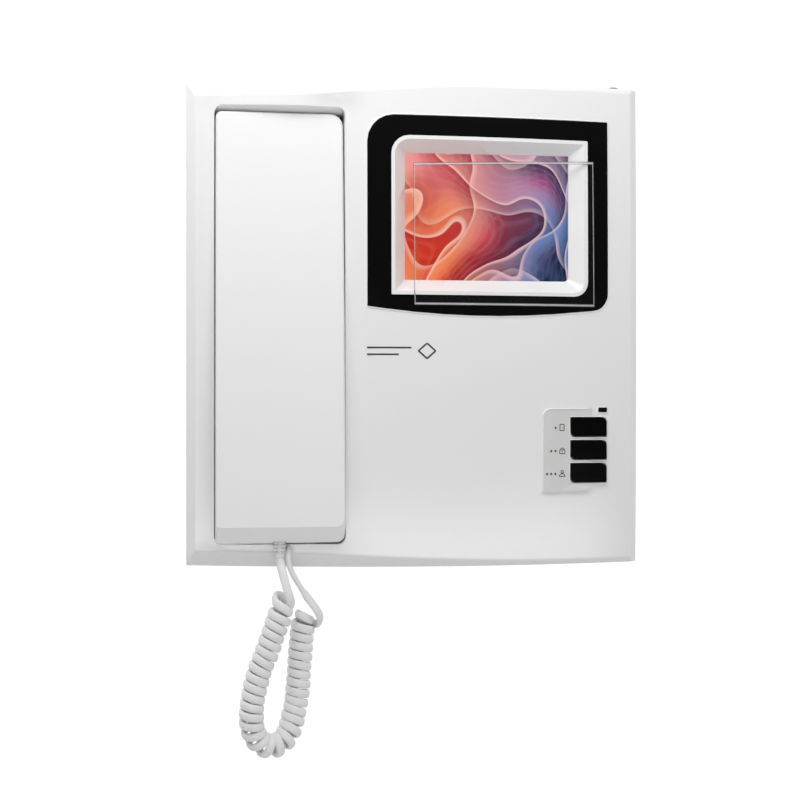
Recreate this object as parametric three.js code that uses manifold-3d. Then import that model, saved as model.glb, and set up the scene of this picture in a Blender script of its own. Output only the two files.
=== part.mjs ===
// Wall-hung video intercom monitor with a corded handset: a convex white case on a steel bracket,
// a four-inch screen in a funnel frame, three call buttons and a lift-out handset on a curly cord.
// Drawn facing the reader: x right, y up, z out from the wall. The last lines turn it to +Z up.
// Millimetres throughout.
import * as THREE from 'three';
import { mergeVertices } from 'three/addons/utils/BufferGeometryUtils.js';
import Module from 'manifold-3d';

const wasm = await Module();
wasm.setup();

// ---------------------------------------------------------------- driving dimensions

const GAP = 0.3; // clearance between neighbouring pieces
const WALL = 2.4; // moulded wall thickness

const CASE = {
  halfWidth: 109.2, halfHeight: 115.6, parting: 20, face: 54,
  sagX: 8, sagY: 1.5, // how far the convex face falls away at its edges
  bulge: 1.3, bulgeCentre: 44, bulgeReach: 153, // top and bottom edges bow outwards
  sideBevel: 4.2, bevelSlope: 0.6,
};
const BRACKET = { halfWidth: 55, halfHeight: 70, thickness: 1.5 };
const WIRE_WINDOW = { top: -22, bottom: -51 }; // where the house wires come through
const BEZEL = { left: -24.7, right: 93, top: 98.2, bottom: 7.9, dip: 4.3, thickness: 1.5, proud: 0.3 };
const FRAME = {
  left: -13.5, right: 82.6, top: 88.5, bottom: 13.3,
  lip: 1.1, base: 44.9, flange: 0.8, rim: 1.7,
};
const SCREEN = { left: -6, right: 74, top: 81.7, bottom: 20.9, glassFront: 44.5, glassThickness: 3 };
// The film is cut slightly out of square.
const FILM = {
  left: -2.8, right: 85.7, bottom: 8.4, topLeft: 75.3, topRight: 78.5, lean: 0.45,
  above: 1.45, thickness: 0.4,
};
const LABEL = { left: 59.7, right: 84.8, top: -40.4, bottom: -80.5, thickness: 0.8 };
const BUTTON = { left: 73.9, right: 92, height: 9, pitch: 11.05, top: -44.9, proud: 1.8, flange: 0.7 };
const LENS = { left: 88.2, right: 92.6, top: -40.1, bottom: -42.3 };
const WHEEL = { x: 98.2, y: 110.2, radius: 7, back: 36.6, thickness: 3 };
const HANDSET = {
  x: -65.5, y: 0.75, z: 54, tilt: THREE.MathUtils.degToRad(4.5),
  halfWidth: 30.2, top: 99, bottom: -103.7, wall: 2.2, split: -10,
};
const CRADLE_CLEARANCE = 1.2;
const CRADLE = { left: -96.3, right: -34.7, top: 101.7, bottom: -104.3, wall: 2.2 };
const HOOK = { along: -25, width: 5, length: 9 };
const CORD = { lead: 3.2, coil: 12.2 };
const BOARD = { left: -22, right: 98, top: -8, bottom: -100, back: 15.5, thickness: 1.6 };
const BUTTON_BOARD = { left: 68, right: 101, top: -36, bottom: -84, back: 37, thickness: 1.6 };
const COVER_SCREWS = [[-101, -106], [101, -106], [-101, 106], [82, 106]];

// ---------------------------------------------------------------- plastics, metals and glass

const paint = (color, roughness = 0.5, metalness = 0) =>
  new THREE.MeshStandardMaterial({ color, roughness, metalness });
const WHITE = paint(0xf1f2f1, 0.35);
const GLOSS_BLACK = paint(0x0d0d0f, 0.12);
const BUTTON_BLACK = paint(0x060606, 0.3);
const CORD_WHITE = paint(0xe6e7e6, 0.45);
const STEEL = paint(0xb5b8bb, 0.4, 0.9);
const BOARD_GREEN = paint(0x1f5a37, 0.5);
const DARK_PLASTIC = paint(0x1b1c1e, 0.55);
const DISPLAY = paint(0x9a5a86, 0.15);
const CLEAR = paint(0xeef2f3, 0.05);
const COPPER = paint(0xb06a34, 0.4, 0.6);
const CAPACITOR_BLUE = paint(0x1d2d5c, 0.4);
const LABEL_WHITE = paint(0xe9eaea, 0.45);
const GREY_RIBBON = paint(0x8d9093, 0.6);
const LAMP_RED = paint(0xb01515, 0.2);

// ---------------------------------------------------------------- solids

function solidOf(geometry) {
  geometry.deleteAttribute('normal');
  geometry.deleteAttribute('uv');
  const merged = mergeVertices(geometry, 1e-4);
  return new wasm.Manifold(new wasm.Mesh({
    numProp: 3,
    vertProperties: new Float32Array(merged.attributes.position.array),
    triVerts: new Uint32Array(merged.index.array),
  }));
}

function geometryOf(solid) {
  const mesh = solid.getMesh();
  const geometry = new THREE.BufferGeometry();
  geometry.setAttribute('position', new THREE.BufferAttribute(new Float32Array(mesh.vertProperties), 3));
  geometry.setIndex(new THREE.BufferAttribute(new Uint32Array(mesh.triVerts), 1));
  geometry.computeVertexNormals();
  return geometry;
}

const join = (first, ...others) => others.reduce((whole, piece) => whole.add(piece), first);
const cut = (first, ...tools) => tools.reduce((whole, tool) => whole.subtract(tool), first);

function block(x0, x1, y0, y1, z0, z1) {
  const geometry = new THREE.BoxGeometry(x1 - x0, y1 - y0, z1 - z0);
  return solidOf(geometry.translate((x0 + x1) / 2, (y0 + y1) / 2, (z0 + z1) / 2));
}

function discZ(x, y, radius, z0, z1, sides = 24) {
  const geometry = new THREE.CylinderGeometry(radius, radius, z1 - z0, sides).rotateX(Math.PI / 2);
  return solidOf(geometry.translate(x, y, (z0 + z1) / 2));
}

function discY(x, z, radius, y0, y1, sides = 24) {
  const geometry = new THREE.CylinderGeometry(radius, radius, y1 - y0, sides);
  return solidOf(geometry.translate(x, (y0 + y1) / 2, z));
}

// A closed outline from corners [x, y, radius]; round corners are arcs of `steps` chords.
function outline(corners, steps = 5) {
  const points = [];
  corners.forEach(([x, y, radius = 0], i) => {
    const corner = new THREE.Vector2(x, y);
    const towards = ([nextX, nextY]) => new THREE.Vector2(nextX, nextY).sub(corner).normalize();
    const before = towards(corners.at(i - 1));
    const after = towards(corners[(i + 1) % corners.length]);
    if (radius === 0) {
      points.push(corner);
      return;
    }
    const half = Math.acos(before.dot(after)) / 2;
    const inward = before.clone().add(after).normalize();
    const centre = inward.multiplyScalar(radius / Math.sin(half)).add(corner);
    const start = before.multiplyScalar(radius / Math.tan(half)).add(corner).sub(centre);
    const end = after.multiplyScalar(radius / Math.tan(half)).add(corner).sub(centre);
    const sweep = Math.atan2(start.cross(end), start.dot(end));
    for (let step = 0; step <= steps; step += 1) {
      points.push(start.clone().rotateAround(new THREE.Vector2(), (sweep * step) / steps).add(centre));
    }
  });
  return points;
}

const rectangle = (left, right, bottom, top, radii = [0, 0, 0, 0]) =>
  [[left, bottom, radii[0]], [right, bottom, radii[1]], [right, top, radii[2]], [left, top, radii[3]]];

function prism(points, z0, z1) {
  const shape = new THREE.Shape(points);
  const geometry = new THREE.ExtrudeGeometry(shape, { depth: z1 - z0, bevelEnabled: false });
  return solidOf(geometry.translate(0, 0, z0));
}

// A side profile, points [y, z], carried from x0 to x1.
function sidePrism(points, x0, x1) {
  const shape = new THREE.Shape(points.map(([y, z]) => new THREE.Vector2(y, z)));
  const geometry = new THREE.ExtrudeGeometry(shape, { depth: x1 - x0, bevelEnabled: false });
  const axes = [new THREE.Vector3(0, 1, 0), new THREE.Vector3(0, 0, 1), new THREE.Vector3(1, 0, 0)];
  return geometry.applyMatrix4(new THREE.Matrix4().makeBasis(...axes)).translate(x0, 0, 0);
}

// A solid through closed rings of equal length, each an array of Vector3, lowest ring first.
function loft(rings) {
  const count = rings[0].length;
  const positions = rings.flatMap((ring) => ring.flatMap((point) => point.toArray()));
  const index = [];
  for (let level = 0; level < rings.length - 1; level += 1) {
    for (let i = 0; i < count; i += 1) {
      const [a, b] = [level * count + i, level * count + ((i + 1) % count)];
      index.push(a, b, b + count, a, b + count, a + count);
    }
  }
  const flat = (ring) => ring.map((point) => new THREE.Vector2(point.x, point.y));
  const last = (rings.length - 1) * count;
  for (const [a, b, c] of THREE.ShapeUtils.triangulateShape(flat(rings[0]), [])) index.push(a, c, b);
  for (const [a, b, c] of THREE.ShapeUtils.triangulateShape(flat(rings.at(-1)), [])) {
    index.push(last + a, last + b, last + c);
  }
  const geometry = new THREE.BufferGeometry();
  geometry.setAttribute('position', new THREE.Float32BufferAttribute(positions, 3));
  geometry.setIndex(index);
  return geometry;
}

// Adds `extra` even points to each side of an outline that is long in the outline `guide`.
function divide(points, guide, extra = 7) {
  return points.flatMap((point, i) => {
    const next = (i + 1) % points.length;
    const count = guide[i].distanceTo(guide[next]) > 20 ? extra : 0;
    return Array.from({ length: count + 1 }, (_, k) => point.clone().lerp(points[next], k / (count + 1)));
  });
}

const ringAt = (points, z) => points.map((point) => new THREE.Vector3(point.x, point.y, z));

// A solid between two height functions over a grid: `columns` of x, and `rowsAt(x)` of y.
function heightSolid(columns, rowsAt, bottomAt, topAt) {
  const rows = rowsAt(columns[0]).length;
  const [nx, ny] = [columns.length, rows];
  const positions = [];
  for (const heightAt of [bottomAt, topAt]) {
    columns.forEach((x, i) => rowsAt(x).forEach((y, j) => positions.push(x, y, heightAt(x, y, i, j))));
  }
  const at = (i, j, level) => level * nx * ny + i * ny + j;
  const index = [];
  for (let i = 0; i < nx - 1; i += 1) {
    for (let j = 0; j < ny - 1; j += 1) {
      const falling = (i >= (nx - 1) / 2) !== (j >= (ny - 1) / 2);
      for (const level of [0, 1]) {
        const [a, b] = [at(i, j, level), at(i + 1, j, level)];
        const [c, d] = [at(i + 1, j + 1, level), at(i, j + 1, level)];
        const triangles = falling ? [[a, b, d], [b, c, d]] : [[a, b, c], [a, c, d]];
        triangles.forEach(([p, q, r]) => index.push(...(level ? [p, q, r] : [p, r, q])));
      }
    }
  }
  const rim = [];
  for (let i = 0; i < nx - 1; i += 1) rim.push([i, 0]);
  for (let j = 0; j < ny - 1; j += 1) rim.push([nx - 1, j]);
  for (let i = nx - 1; i > 0; i -= 1) rim.push([i, ny - 1]);
  for (let j = ny - 1; j > 0; j -= 1) rim.push([0, j]);
  rim.forEach(([i, j], k) => {
    const [m, n] = rim[(k + 1) % rim.length];
    const [a, b, c, d] = [at(i, j, 0), at(m, n, 0), at(m, n, 1), at(i, j, 1)];
    index.push(a, b, c, a, c, d);
  });
  const geometry = new THREE.BufferGeometry();
  geometry.setAttribute('position', new THREE.Float32BufferAttribute(positions, 3));
  geometry.setIndex(index);
  return solidOf(geometry);
}

const steps = (from, to, count) =>
  Array.from({ length: count + 1 }, (_, i) => from + ((to - from) * i) / count);
const smooth = (value, from, to) => THREE.MathUtils.smoothstep(value, from, to);

// ---------------------------------------------------------------- the convex face

const faceZ = (x, y) =>
  CASE.face - CASE.sagX * (x / CASE.halfWidth) ** 2 - CASE.sagY * (y / CASE.halfHeight) ** 2;
const halfHeightAt = (x) =>
  CASE.halfHeight - CASE.bulge * ((x - CASE.bulgeCentre) / CASE.bulgeReach) ** 2;
const topBevel = (x) => 8 - 5.5 * smooth(x, -71, 34);
const bottomBevel = (x) => 7.6 - 5.3 * smooth(x, -101, 74);

// The case's outer form moved in by `inset`, from z = base up to the bevelled convex face.
function caseForm(inset, base) {
  const reach = CASE.halfWidth - inset;
  const flat = CASE.halfWidth - CASE.sideBevel - inset * 0.6;
  const columns = [-reach, ...steps(-flat, flat, 16), reach];
  const rowsAt = (x) => {
    const limit = halfHeightAt(x) - inset;
    const low = -halfHeightAt(x) + bottomBevel(x) + inset * 0.6;
    const high = halfHeightAt(x) - topBevel(x) - inset * 0.6;
    return [-limit, ...steps(low, high, 8), limit];
  };
  const topAt = (x, y, i, j) => {
    const onSide = i === 0 || i === columns.length - 1;
    const onBottom = j === 0;
    const onTop = j === 10;
    const sideDrop = onSide ? CASE.sideBevel : 0;
    const endDrop = (onTop ? topBevel(x) : 0) + (onBottom ? bottomBevel(x) : 0);
    return faceZ(x, y) - inset - Math.max(sideDrop, endDrop * CASE.bevelSlope);
  };
  return heightSolid(columns, rowsAt, () => base, topAt);
}

// A curved plate that follows the face, between two heights above it.
function faceLayer(left, right, bottom, top, low, high) {
  const columns = steps(left, right, Math.ceil((right - left) / 12));
  const rows = steps(bottom, top, Math.ceil((top - bottom) / 24));
  return heightSolid(columns, () => rows, (x, y) => faceZ(x, y) + low, (x, y) => faceZ(x, y) + high);
}

// ---------------------------------------------------------------- outlines on the face

function bezelOutline(grow) {
  const { left, right, top, bottom, dip } = BEZEL;
  const middle = (left + right) / 2;
  const arc = steps(left + 9, right - 13, 7).map((x) => {
    const u = (x - middle) / ((right - left) / 2);
    return [x, bottom - dip * (1 - u * u) - grow];
  });
  return outline([
    [left - grow, bottom - grow], ...arc, [right + grow, bottom - 0.6 - grow, 8],
    [right + grow, top + grow], [left - grow, top + grow, 12.5 + grow],
  ]);
}

const frameOutline = (inset) => outline(rectangle(
  FRAME.left + inset, FRAME.right - inset, FRAME.bottom + inset, FRAME.top - inset,
  [0.5, 7 - inset * 0.8, 0.5, 8.5 - inset * 0.8],
));
const screenOutline = () =>
  outline(rectangle(SCREEN.left, SCREEN.right, SCREEN.bottom, SCREEN.top, [0.3, 2.2, 0.3, 1.2]));

function filmOutline() {
  const { left, right, bottom, topLeft, topRight, lean } = FILM;
  return outline([[left, bottom], [right, bottom], [right - lean, topRight], [left - lean, topLeft]]);
}

const buttonTop = (row) => BUTTON.top - row * BUTTON.pitch;

function buttonOutline(row, grow) {
  const top = buttonTop(row);
  return outline(rectangle(
    BUTTON.left - grow, BUTTON.right + grow, top - BUTTON.height - grow, top + grow,
    [2.2, 0.3, 2.4, 0.3],
  ), 4);
}

// ---------------------------------------------------------------- handset form, in its own tilted frame

// Back of the handset, [y, z] from the ear end to the mouth end: ear pad, grip, mouth pad.
const HANDSET_BACK = [[104, -20], [54, -20], [42, -18], [-47, -18], [-58, -29], [-110, -29]];

const backAbove = (offset) => HANDSET_BACK.map(([y, z]) => [y, z + offset]);
const overBack = (offset) => [...backAbove(offset), [-110, 30], [104, 30]];

function handsetRing(inset, z, half, top, bottom) {
  const [w, t, b] = [half - inset, top - inset, bottom + inset];
  return ringAt(outline(rectangle(-w, w, b, t, [1.4, 3.6, 6.2, 3]), 4), z);
}

// The mouth end slopes back from the front edge, and the front edge is chamfered.
function handsetForm(inset) {
  const { halfWidth, top, bottom } = HANDSET;
  const sides = solidOf(loft([
    handsetRing(inset, -40, halfWidth, top - 0.6, bottom + 2),
    handsetRing(inset, -12.1, halfWidth, top, bottom),
    handsetRing(inset, -8.1, halfWidth - 0.1, top, bottom + 0.7),
    handsetRing(inset, -1.4 - inset, halfWidth - 0.2, top, bottom + 6.7),
    handsetRing(inset, -inset, halfWidth - 1.1, top - 1, bottom + 7.6),
  ]));
  return sides.intersect(solidOf(sidePrism(overBack(inset), -40, 40)));
}

const above = (z) => block(-60, 60, -130, 130, z, 90);
const below = (z) => block(-60, 60, -130, 130, -90, z);

// Moves a geometry drawn in the handset's frame into the case's frame.
const inCase = (geometry) =>
  geometry.rotateX(-HANDSET.tilt).translate(HANDSET.x, HANDSET.y, HANDSET.z);

// ---------------------------------------------------------------- case pieces

function cradleSpace(grow, floorOffset) {
  const edge = (left, right, bottom, top, z) => ringAt(outline(
    rectangle(left - grow, right + grow, bottom - grow, top + grow, [3, 3.6, 5.5, 3.6]), 4), z);
  const { left, right, bottom, top } = CRADLE;
  const shaft = solidOf(loft([
    edge(left + 0.2, right - 0.2, bottom, top - 4.2, 18),
    edge(left + 0.1, right - 0.1, bottom, top - 2.2, 43),
    edge(left, right, bottom, top, 50),
    edge(left, right, bottom, top + 2, 70),
  ]));
  const overFloor = sidePrism(overBack(-floorOffset), -60, 60);
  return shaft.intersect(solidOf(inCase(overFloor)));
}

function frontCover() {
  const { parting } = CASE;
  const outer = caseForm(0, parting);
  const tray = cradleSpace(CRADLE.wall, CRADLE_CLEARANCE + CRADLE.wall).intersect(outer);
  const shell = join(cut(outer, caseForm(WALL, parting - 1)), tray, ...coverBosses(outer));
  const bezelPocket = prism(bezelOutline(GAP), 30, 70)
    .intersect(faceLayer(-27, 96, 0, 101, BEZEL.proud - BEZEL.thickness - GAP, 20));
  const screenHole = prism(frameOutline(FRAME.flange - GAP), 30, 70);
  const buttonHoles = [0, 1, 2].map((row) => prism(buttonOutline(row, GAP), 30, 70));
  const { left, right, top, bottom } = LENS;
  const lensHole = block(left - GAP, right + GAP, bottom - GAP, top + GAP, 30, 70);
  const wheelSlot = block(
    WHEEL.x - WHEEL.radius, WHEEL.x + WHEEL.radius, 110, 120,
    WHEEL.back - 0.6, WHEEL.back + WHEEL.thickness + 0.6);
  return cut(shell, cradleSpace(0, CRADLE_CLEARANCE), bezelPocket, screenHole, ...buttonHoles,
    lensHole, wheelSlot, hookHole(), cordNotch(GAP), ...ventSlots());
}

// Posts behind the face that take the four cover screws from the back.
function coverBosses(outer) {
  return COVER_SCREWS.map(([x, y]) => cut(
    discZ(x, y, 4.6, CASE.parting, 60, 16).intersect(outer), discZ(x, y, 1.6, CASE.parting - 1, 34, 12)));
}

function ventSlots() {
  const top = [-72, -54, -10, 10].map((x) => block(x - 7, x + 7, 108, 120, 27, 28.6));
  const bottom = steps(-14, 14, 4).map((x) => block(x - 1.1, x + 1.1, -120, -108, 24, 38));
  return [...top, ...bottom];
}

function hookHole() {
  const { along, width, length } = HOOK;
  const geometry = new THREE.BoxGeometry(width + 2 * GAP, length + 2 * GAP, 14);
  return solidOf(inCase(geometry.translate(0, along, -22)));
}

const GROMMET = { left: -63.7, right: -58.9, bottom: -107.6, top: -104, back: 38, front: 50.4 };

function cordNotch(grow) {
  const { left, right, bottom, top, back } = GROMMET;
  return block(left - grow, right + grow, bottom - grow, top + 1, back - grow, 60);
}

function cordGrommet() {
  const { left, right, bottom, top, back, front } = GROMMET;
  const body = prism(outline(rectangle(left, right, bottom, top, [1.2, 1.2, 0.4, 0.4]), 3), back, front);
  return cut(body, block(left + 1.2, right - 1.2, bottom + 0.7, top - 0.5, front - 3, front + 1));
}

function rearCover() {
  const { parting } = CASE;
  const rim = 0.6;
  const top = parting - GAP;
  const plan = (inset) => {
    const edge = steps(-CASE.halfWidth + inset, CASE.halfWidth - inset, 12);
    const upper = edge.map((x) => new THREE.Vector2(x, halfHeightAt(x) - inset));
    return [...edge.map((x) => new THREE.Vector2(x, -halfHeightAt(x) + inset)), ...upper.reverse()];
  };
  const { halfWidth, halfHeight } = BRACKET;
  const wallPlate = block(-halfWidth - 4, halfWidth + 4, -halfHeight - 4, halfHeight + 4, 0.5, 4.4);
  const shell = join(
    cut(prism(plan(rim), 0.4, top), prism(plan(rim + WALL), 2.6, top + 1)), wallPlate, ...rearPosts());
  const bracketSeat = block(-halfWidth - 0.5, halfWidth + 0.5, -halfHeight - 0.5, halfHeight + 0.5, 0, 2);
  const wireWindow = block(-26, 26, WIRE_WINDOW.bottom - 4, WIRE_WINDOW.top + 4, 0, 8);
  const hookSlots = bracketHooks().map(([x, y]) => block(x - 7, x + 7, y - 4, y + 11, 0, 8));
  const vents = steps(-63, 63, 6).flatMap((x) => [
    block(x - 6, x + 6, 84, 86, 0, 8), block(x - 6, x + 6, 91, 93, 0, 8)]);
  const screwHoles = COVER_SCREWS.map(([x, y]) => join(
    discZ(x, y, 1.9, 0, 30, 12), discZ(x, y, 3.5, 0, 6.4, 16)));
  const wallSlots = [28, -28].map((x) => block(x - 6, x + 6, 96, 99, 10, 30));
  return cut(shell, bracketSeat, wireWindow, ...hookSlots, ...vents, ...screwHoles, ...wallSlots);
}

const BOARD_POSTS = [[-12, -14], [92, -14], [-12, -94], [92, -94]];

function rearPosts() {
  const screwPosts = COVER_SCREWS.map(([x, y]) => discZ(x, y, 4.6, 1, CASE.parting - GAP, 16));
  const boardPosts = BOARD_POSTS.map(([x, y]) => discZ(x, y, 3.5, 1, BOARD.back - GAP, 12));
  return [...screwPosts, ...boardPosts];
}

// ---------------------------------------------------------------- wall bracket

const bracketHooks = () => [[-40, 50], [40, 50], [-40, -60], [40, -60]];

function wallBracket() {
  const { halfWidth, halfHeight, thickness } = BRACKET;
  const edge = outline(rectangle(-halfWidth, halfWidth, -halfHeight, halfHeight, [6, 6, 6, 6]), 4);
  const plate = prism(edge, 0, thickness);
  const hooks = bracketHooks().map(([x, y]) => join(
    block(x - 5, x + 5, y, y + 1.5, 0.5, 6.4), block(x - 5, x + 5, y, y + 8, 4.9, 6.4)));
  const slots = [[-20, 58], [20, 58], [-48, 0], [48, 0], [0, -61]].map(([x, y]) => join(
    block(x - 2.2, x + 2.2, y - 3, y + 3, -1, 3),
    discZ(x, y + 3, 2.2, -1, 3, 12),
    discZ(x, y - 3, 4.2, -1, 3, 16)));
  const wireWindow = block(-22, 22, WIRE_WINDOW.bottom, WIRE_WINDOW.top, -1, 3);
  return cut(join(plate, ...hooks), wireWindow, ...slots);
}

// ---------------------------------------------------------------- screen

function bezelPlate() {
  const layer = faceLayer(-26, 95, 1, 100, BEZEL.proud - BEZEL.thickness, BEZEL.proud);
  const opening = prism(frameOutline(FRAME.flange - GAP), 30, 70);
  return prism(bezelOutline(0), 30, 70).intersect(layer).subtract(opening);
}

function screenFrame() {
  const around = [FRAME.left - 1, FRAME.right + 1, FRAME.bottom - 1, FRAME.top + 1];
  const lip = prism(frameOutline(0), 30, 70)
    .intersect(faceLayer(...around, BEZEL.proud + GAP, FRAME.lip));
  const throat = prism(frameOutline(FRAME.flange), FRAME.base, 70)
    .intersect(faceLayer(...around, -14, FRAME.lip - 0.1));
  const mouth = divide(frameOutline(FRAME.rim), frameOutline(FRAME.rim));
  const opening = divide(screenOutline(), frameOutline(FRAME.rim));
  const mouthOnFace = mouth.map((p) => new THREE.Vector3(p.x, p.y, faceZ(p.x, p.y) + FRAME.lip - 0.05));
  const funnel = solidOf(loft([ringAt(opening, 40), ringAt(opening, 46), mouthOnFace, ringAt(mouth, 62)]));
  return cut(join(lip, throat), funnel);
}

function screenFilm() {
  const { above: low, thickness } = FILM;
  return prism(filmOutline(), 30, 70).intersect(faceLayer(-5, 88, 7, 79, low, low + thickness));
}

function lcdPanel() {
  const { left, right, bottom, top, glassFront, glassThickness } = SCREEN;
  return block(left - 3, right + 3, bottom - 3, top + 3, glassFront - glassThickness, glassFront);
}

function lcdTray() {
  const { left, right, bottom, top, glassFront, glassThickness } = SCREEN;
  const back = glassFront - glassThickness - 6;
  const floor = glassFront - glassThickness - GAP;
  const body = block(left - 5, right + 5, bottom - 5, top + 5, back, glassFront - 0.8);
  return cut(body, block(left - 3.4, right + 3.4, bottom - 3.4, top + 3.4, floor, 60));
}

// ---------------------------------------------------------------- buttons, label and indicator

function button(row) {
  const top = buttonTop(row);
  const around = [BUTTON.left - 3, BUTTON.right + 3, top - BUTTON.height - 2, top + 2];
  const cap = prism(buttonOutline(row, 0), 30, 70)
    .intersect(faceLayer(...around, -4.2, BUTTON.proud));
  const middleX = (BUTTON.left + BUTTON.right) / 2;
  const middleY = top - BUTTON.height / 2;
  const stem = block(middleX - 2, middleX + 2, middleY - 1.5, middleY + 1.5, 44.2, 47);
  const flange = prism(buttonOutline(row, BUTTON.flange), 30, 70)
    .intersect(faceLayer(...around, -4.2, -3));
  return join(cap, flange, stem);
}

function buttonSwitch(row) {
  const x = (BUTTON.left + BUTTON.right) / 2;
  const y = buttonTop(row) - BUTTON.height / 2;
  const floor = BUTTON_BOARD.back + BUTTON_BOARD.thickness + GAP;
  const body = block(x - 3, x + 3, y - 3, y + 3, floor, floor + 3.4);
  return join(body, discZ(x, y, 1.7, floor + 3, floor + 4, 12));
}

function labelPlate() {
  const { left, right, top, bottom, thickness } = LABEL;
  const plate = prism(outline(rectangle(left, right, bottom, top, [0.3, 4, 0.3, 4]), 4), 30, 70)
    .intersect(faceLayer(left - 2, right + 2, bottom - 2, top + 2, GAP, GAP + thickness));
  return cut(plate, ...[0, 1, 2].map((row) => prism(buttonOutline(row, 0.45), 30, 70)));
}

function indicatorLens() {
  const { left, right, top, bottom } = LENS;
  const layer = faceLayer(left - 1, right + 1, bottom - 1, top + 1, -3, 0.5);
  return block(left, right, bottom, top, 30, 70).intersect(layer);
}

function indicatorLed() {
  const x = (LENS.left + LENS.right) / 2;
  const y = (LENS.top + LENS.bottom) / 2;
  const floor = BUTTON_BOARD.back + BUTTON_BOARD.thickness + GAP;
  return join(discZ(x, y, 1.9, floor, floor + 1, 16), discZ(x, y, 1.5, floor, floor + 5, 16));
}

function buttonBoard() {
  const { left, right, top, bottom, back, thickness } = BUTTON_BOARD;
  return block(left, right, bottom, top, back, back + thickness);
}

// ---------------------------------------------------------------- electronics

function mainBoard() {
  const { left, right, top, bottom, back, thickness } = BOARD;
  const holes = BOARD_POSTS.map(([x, y]) => discZ(x, y, 1.6, 0, 40, 12));
  return cut(block(left, right, bottom, top, back, back + thickness), ...holes);
}

const boardTop = BOARD.back + BOARD.thickness + GAP;

function transformer() {
  const core = block(14, 44, -74, -50, boardTop, boardTop + 20);
  return join(core, block(18, 40, -80, -44, boardTop + 4, boardTop + 16));
}

const capacitor = (x, y, radius, height) => join(
  discZ(x, y, radius, boardTop, boardTop + height, 20),
  discZ(x, y, radius - 1, boardTop, boardTop + height + 0.6, 20));

function terminalBlock() {
  const body = block(-18, 18, -33, -23, 4.6, BOARD.back - GAP);
  return cut(body, ...steps(-14.4, 14.4, 4).map((x) => block(x - 2.2, x + 2.2, -31, -26, 4, 9)));
}

function ribbonConnector() {
  const body = block(20, 48, -20, -12, boardTop, boardTop + 6);
  return cut(body, block(21.5, 46.5, -17.4, -14.6, boardTop + 2, boardTop + 8));
}

// Rises out of its connector, turns up the case and ends behind the screen.
function ribbonCable() {
  const [foot, shelf, tip, far] = [boardTop + 2.6, 32.6, 34.9, 30];
  return solidOf(sidePrism([
    [-16.4, foot], [-15.6, foot], [-15.6, shelf], [far, shelf], [far, tip], [far - 0.8, tip],
    [far - 0.8, shelf + 0.8], [-16.4, shelf + 0.8],
  ], 24, 44));
}

function callSpeaker() {
  const [x, z] = [0, 32];
  return join(discY(x, z, 9.5, -107.6, -104, 28), discY(x, z, 6.5, -105, -99, 24));
}

function hookSwitch() {
  const body = new THREE.BoxGeometry(11, 18, 7.4).translate(0, HOOK.along, -26.1);
  const pocket = new THREE.BoxGeometry(3.4, 5.4, 8).translate(0, HOOK.along, -24.8);
  return cut(solidOf(inCase(body)), solidOf(inCase(pocket)));
}

function hookPlunger() {
  const { width, length, along } = HOOK;
  const head = new THREE.BoxGeometry(width, length, 3.6).translate(0, along, -20.2);
  const stem = new THREE.BoxGeometry(2.6, 4.6, 7).translate(0, along, -24.8);
  return join(solidOf(inCase(head)), solidOf(inCase(stem)));
}

function brightnessPot() {
  const { x, back } = WHEEL;
  const body = block(x - 5.5, x + 5.5, 99, 110, back - 7, back - 1.2);
  return join(body, block(x - 2, x + 2, 92, 100, back - 6, back - 4));
}

function brightnessWheel() {
  const { radius, back, thickness } = WHEEL;
  const reach = 1.03 * radius;
  const notches = steps(0, 23, 23).map((i) => {
    const angle = (i / 24) * 2 * Math.PI;
    return discZ(reach * Math.cos(angle), reach * Math.sin(angle), 0.45, back - 1, back + 9, 6);
  });
  return cut(discZ(0, 0, radius, back, back + thickness, 48), ...notches)
    .add(discZ(0, 0, 1.5, back + thickness - 0.5, back + thickness + 2, 12));
}

// The driver slot of a screw head.
const driverSlot = (x, y, z0, z1) => block(x - 2, x + 2, y - 0.4, y + 0.4, z0, z1);

function coverScrew([x, y]) {
  const head = discZ(x, y, 3, 4.4, 6.1, 16);
  const shank = discZ(x, y, 1.3, 5, 30, 12);
  const upright = block(x - 0.4, x + 0.4, y - 2, y + 2, 4, 5.1);
  return cut(join(head, shank), driverSlot(x, y, 4, 5.1), upright);
}

function boardScrew([x, y]) {
  const head = discZ(x, y, 2.8, boardTop, boardTop + 1.8, 14);
  return cut(head, driverSlot(x, y, boardTop + 1, boardTop + 3));
}

// ---------------------------------------------------------------- handset pieces, in the handset's frame

const SCREW_SPOTS = [[0, 36], [0, -42]];

function handsetFront() {
  const pillars = SCREW_SPOTS.map(([x, y]) => discZ(x, y, 4, HANDSET.split, -1, 16));
  const threads = SCREW_SPOTS.map(([x, y]) => discZ(x, y, 1.6, -20, -4, 12));
  const shell = join(cut(handsetForm(0), handsetForm(HANDSET.wall)), ...pillars);
  return cut(shell, below(HANDSET.split + GAP / 2), ...threads, bootSeat());
}

function handsetBack() {
  const ears = holeRing(0, 76, 7, [6, 10]);
  const mouth = holeRing(0, -84, 6, [3.5]);
  const screws = SCREW_SPOTS.map(([x, y]) => join(
    discZ(x, y, 1.6, -24, -10, 12), discZ(x, y, 3.4, -24, -14.9, 16)));
  const pillars = SCREW_SPOTS.map(([x, y]) => discZ(x, y, 4.4, -17.6, HANDSET.split - 0.5, 16));
  const hollow = cut(handsetForm(0), handsetForm(HANDSET.wall), above(HANDSET.split - GAP / 2));
  const shell = join(hollow, ...pillars);
  return cut(shell, ...ears, ...mouth, ...screws, bootSeat());
}

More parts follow.
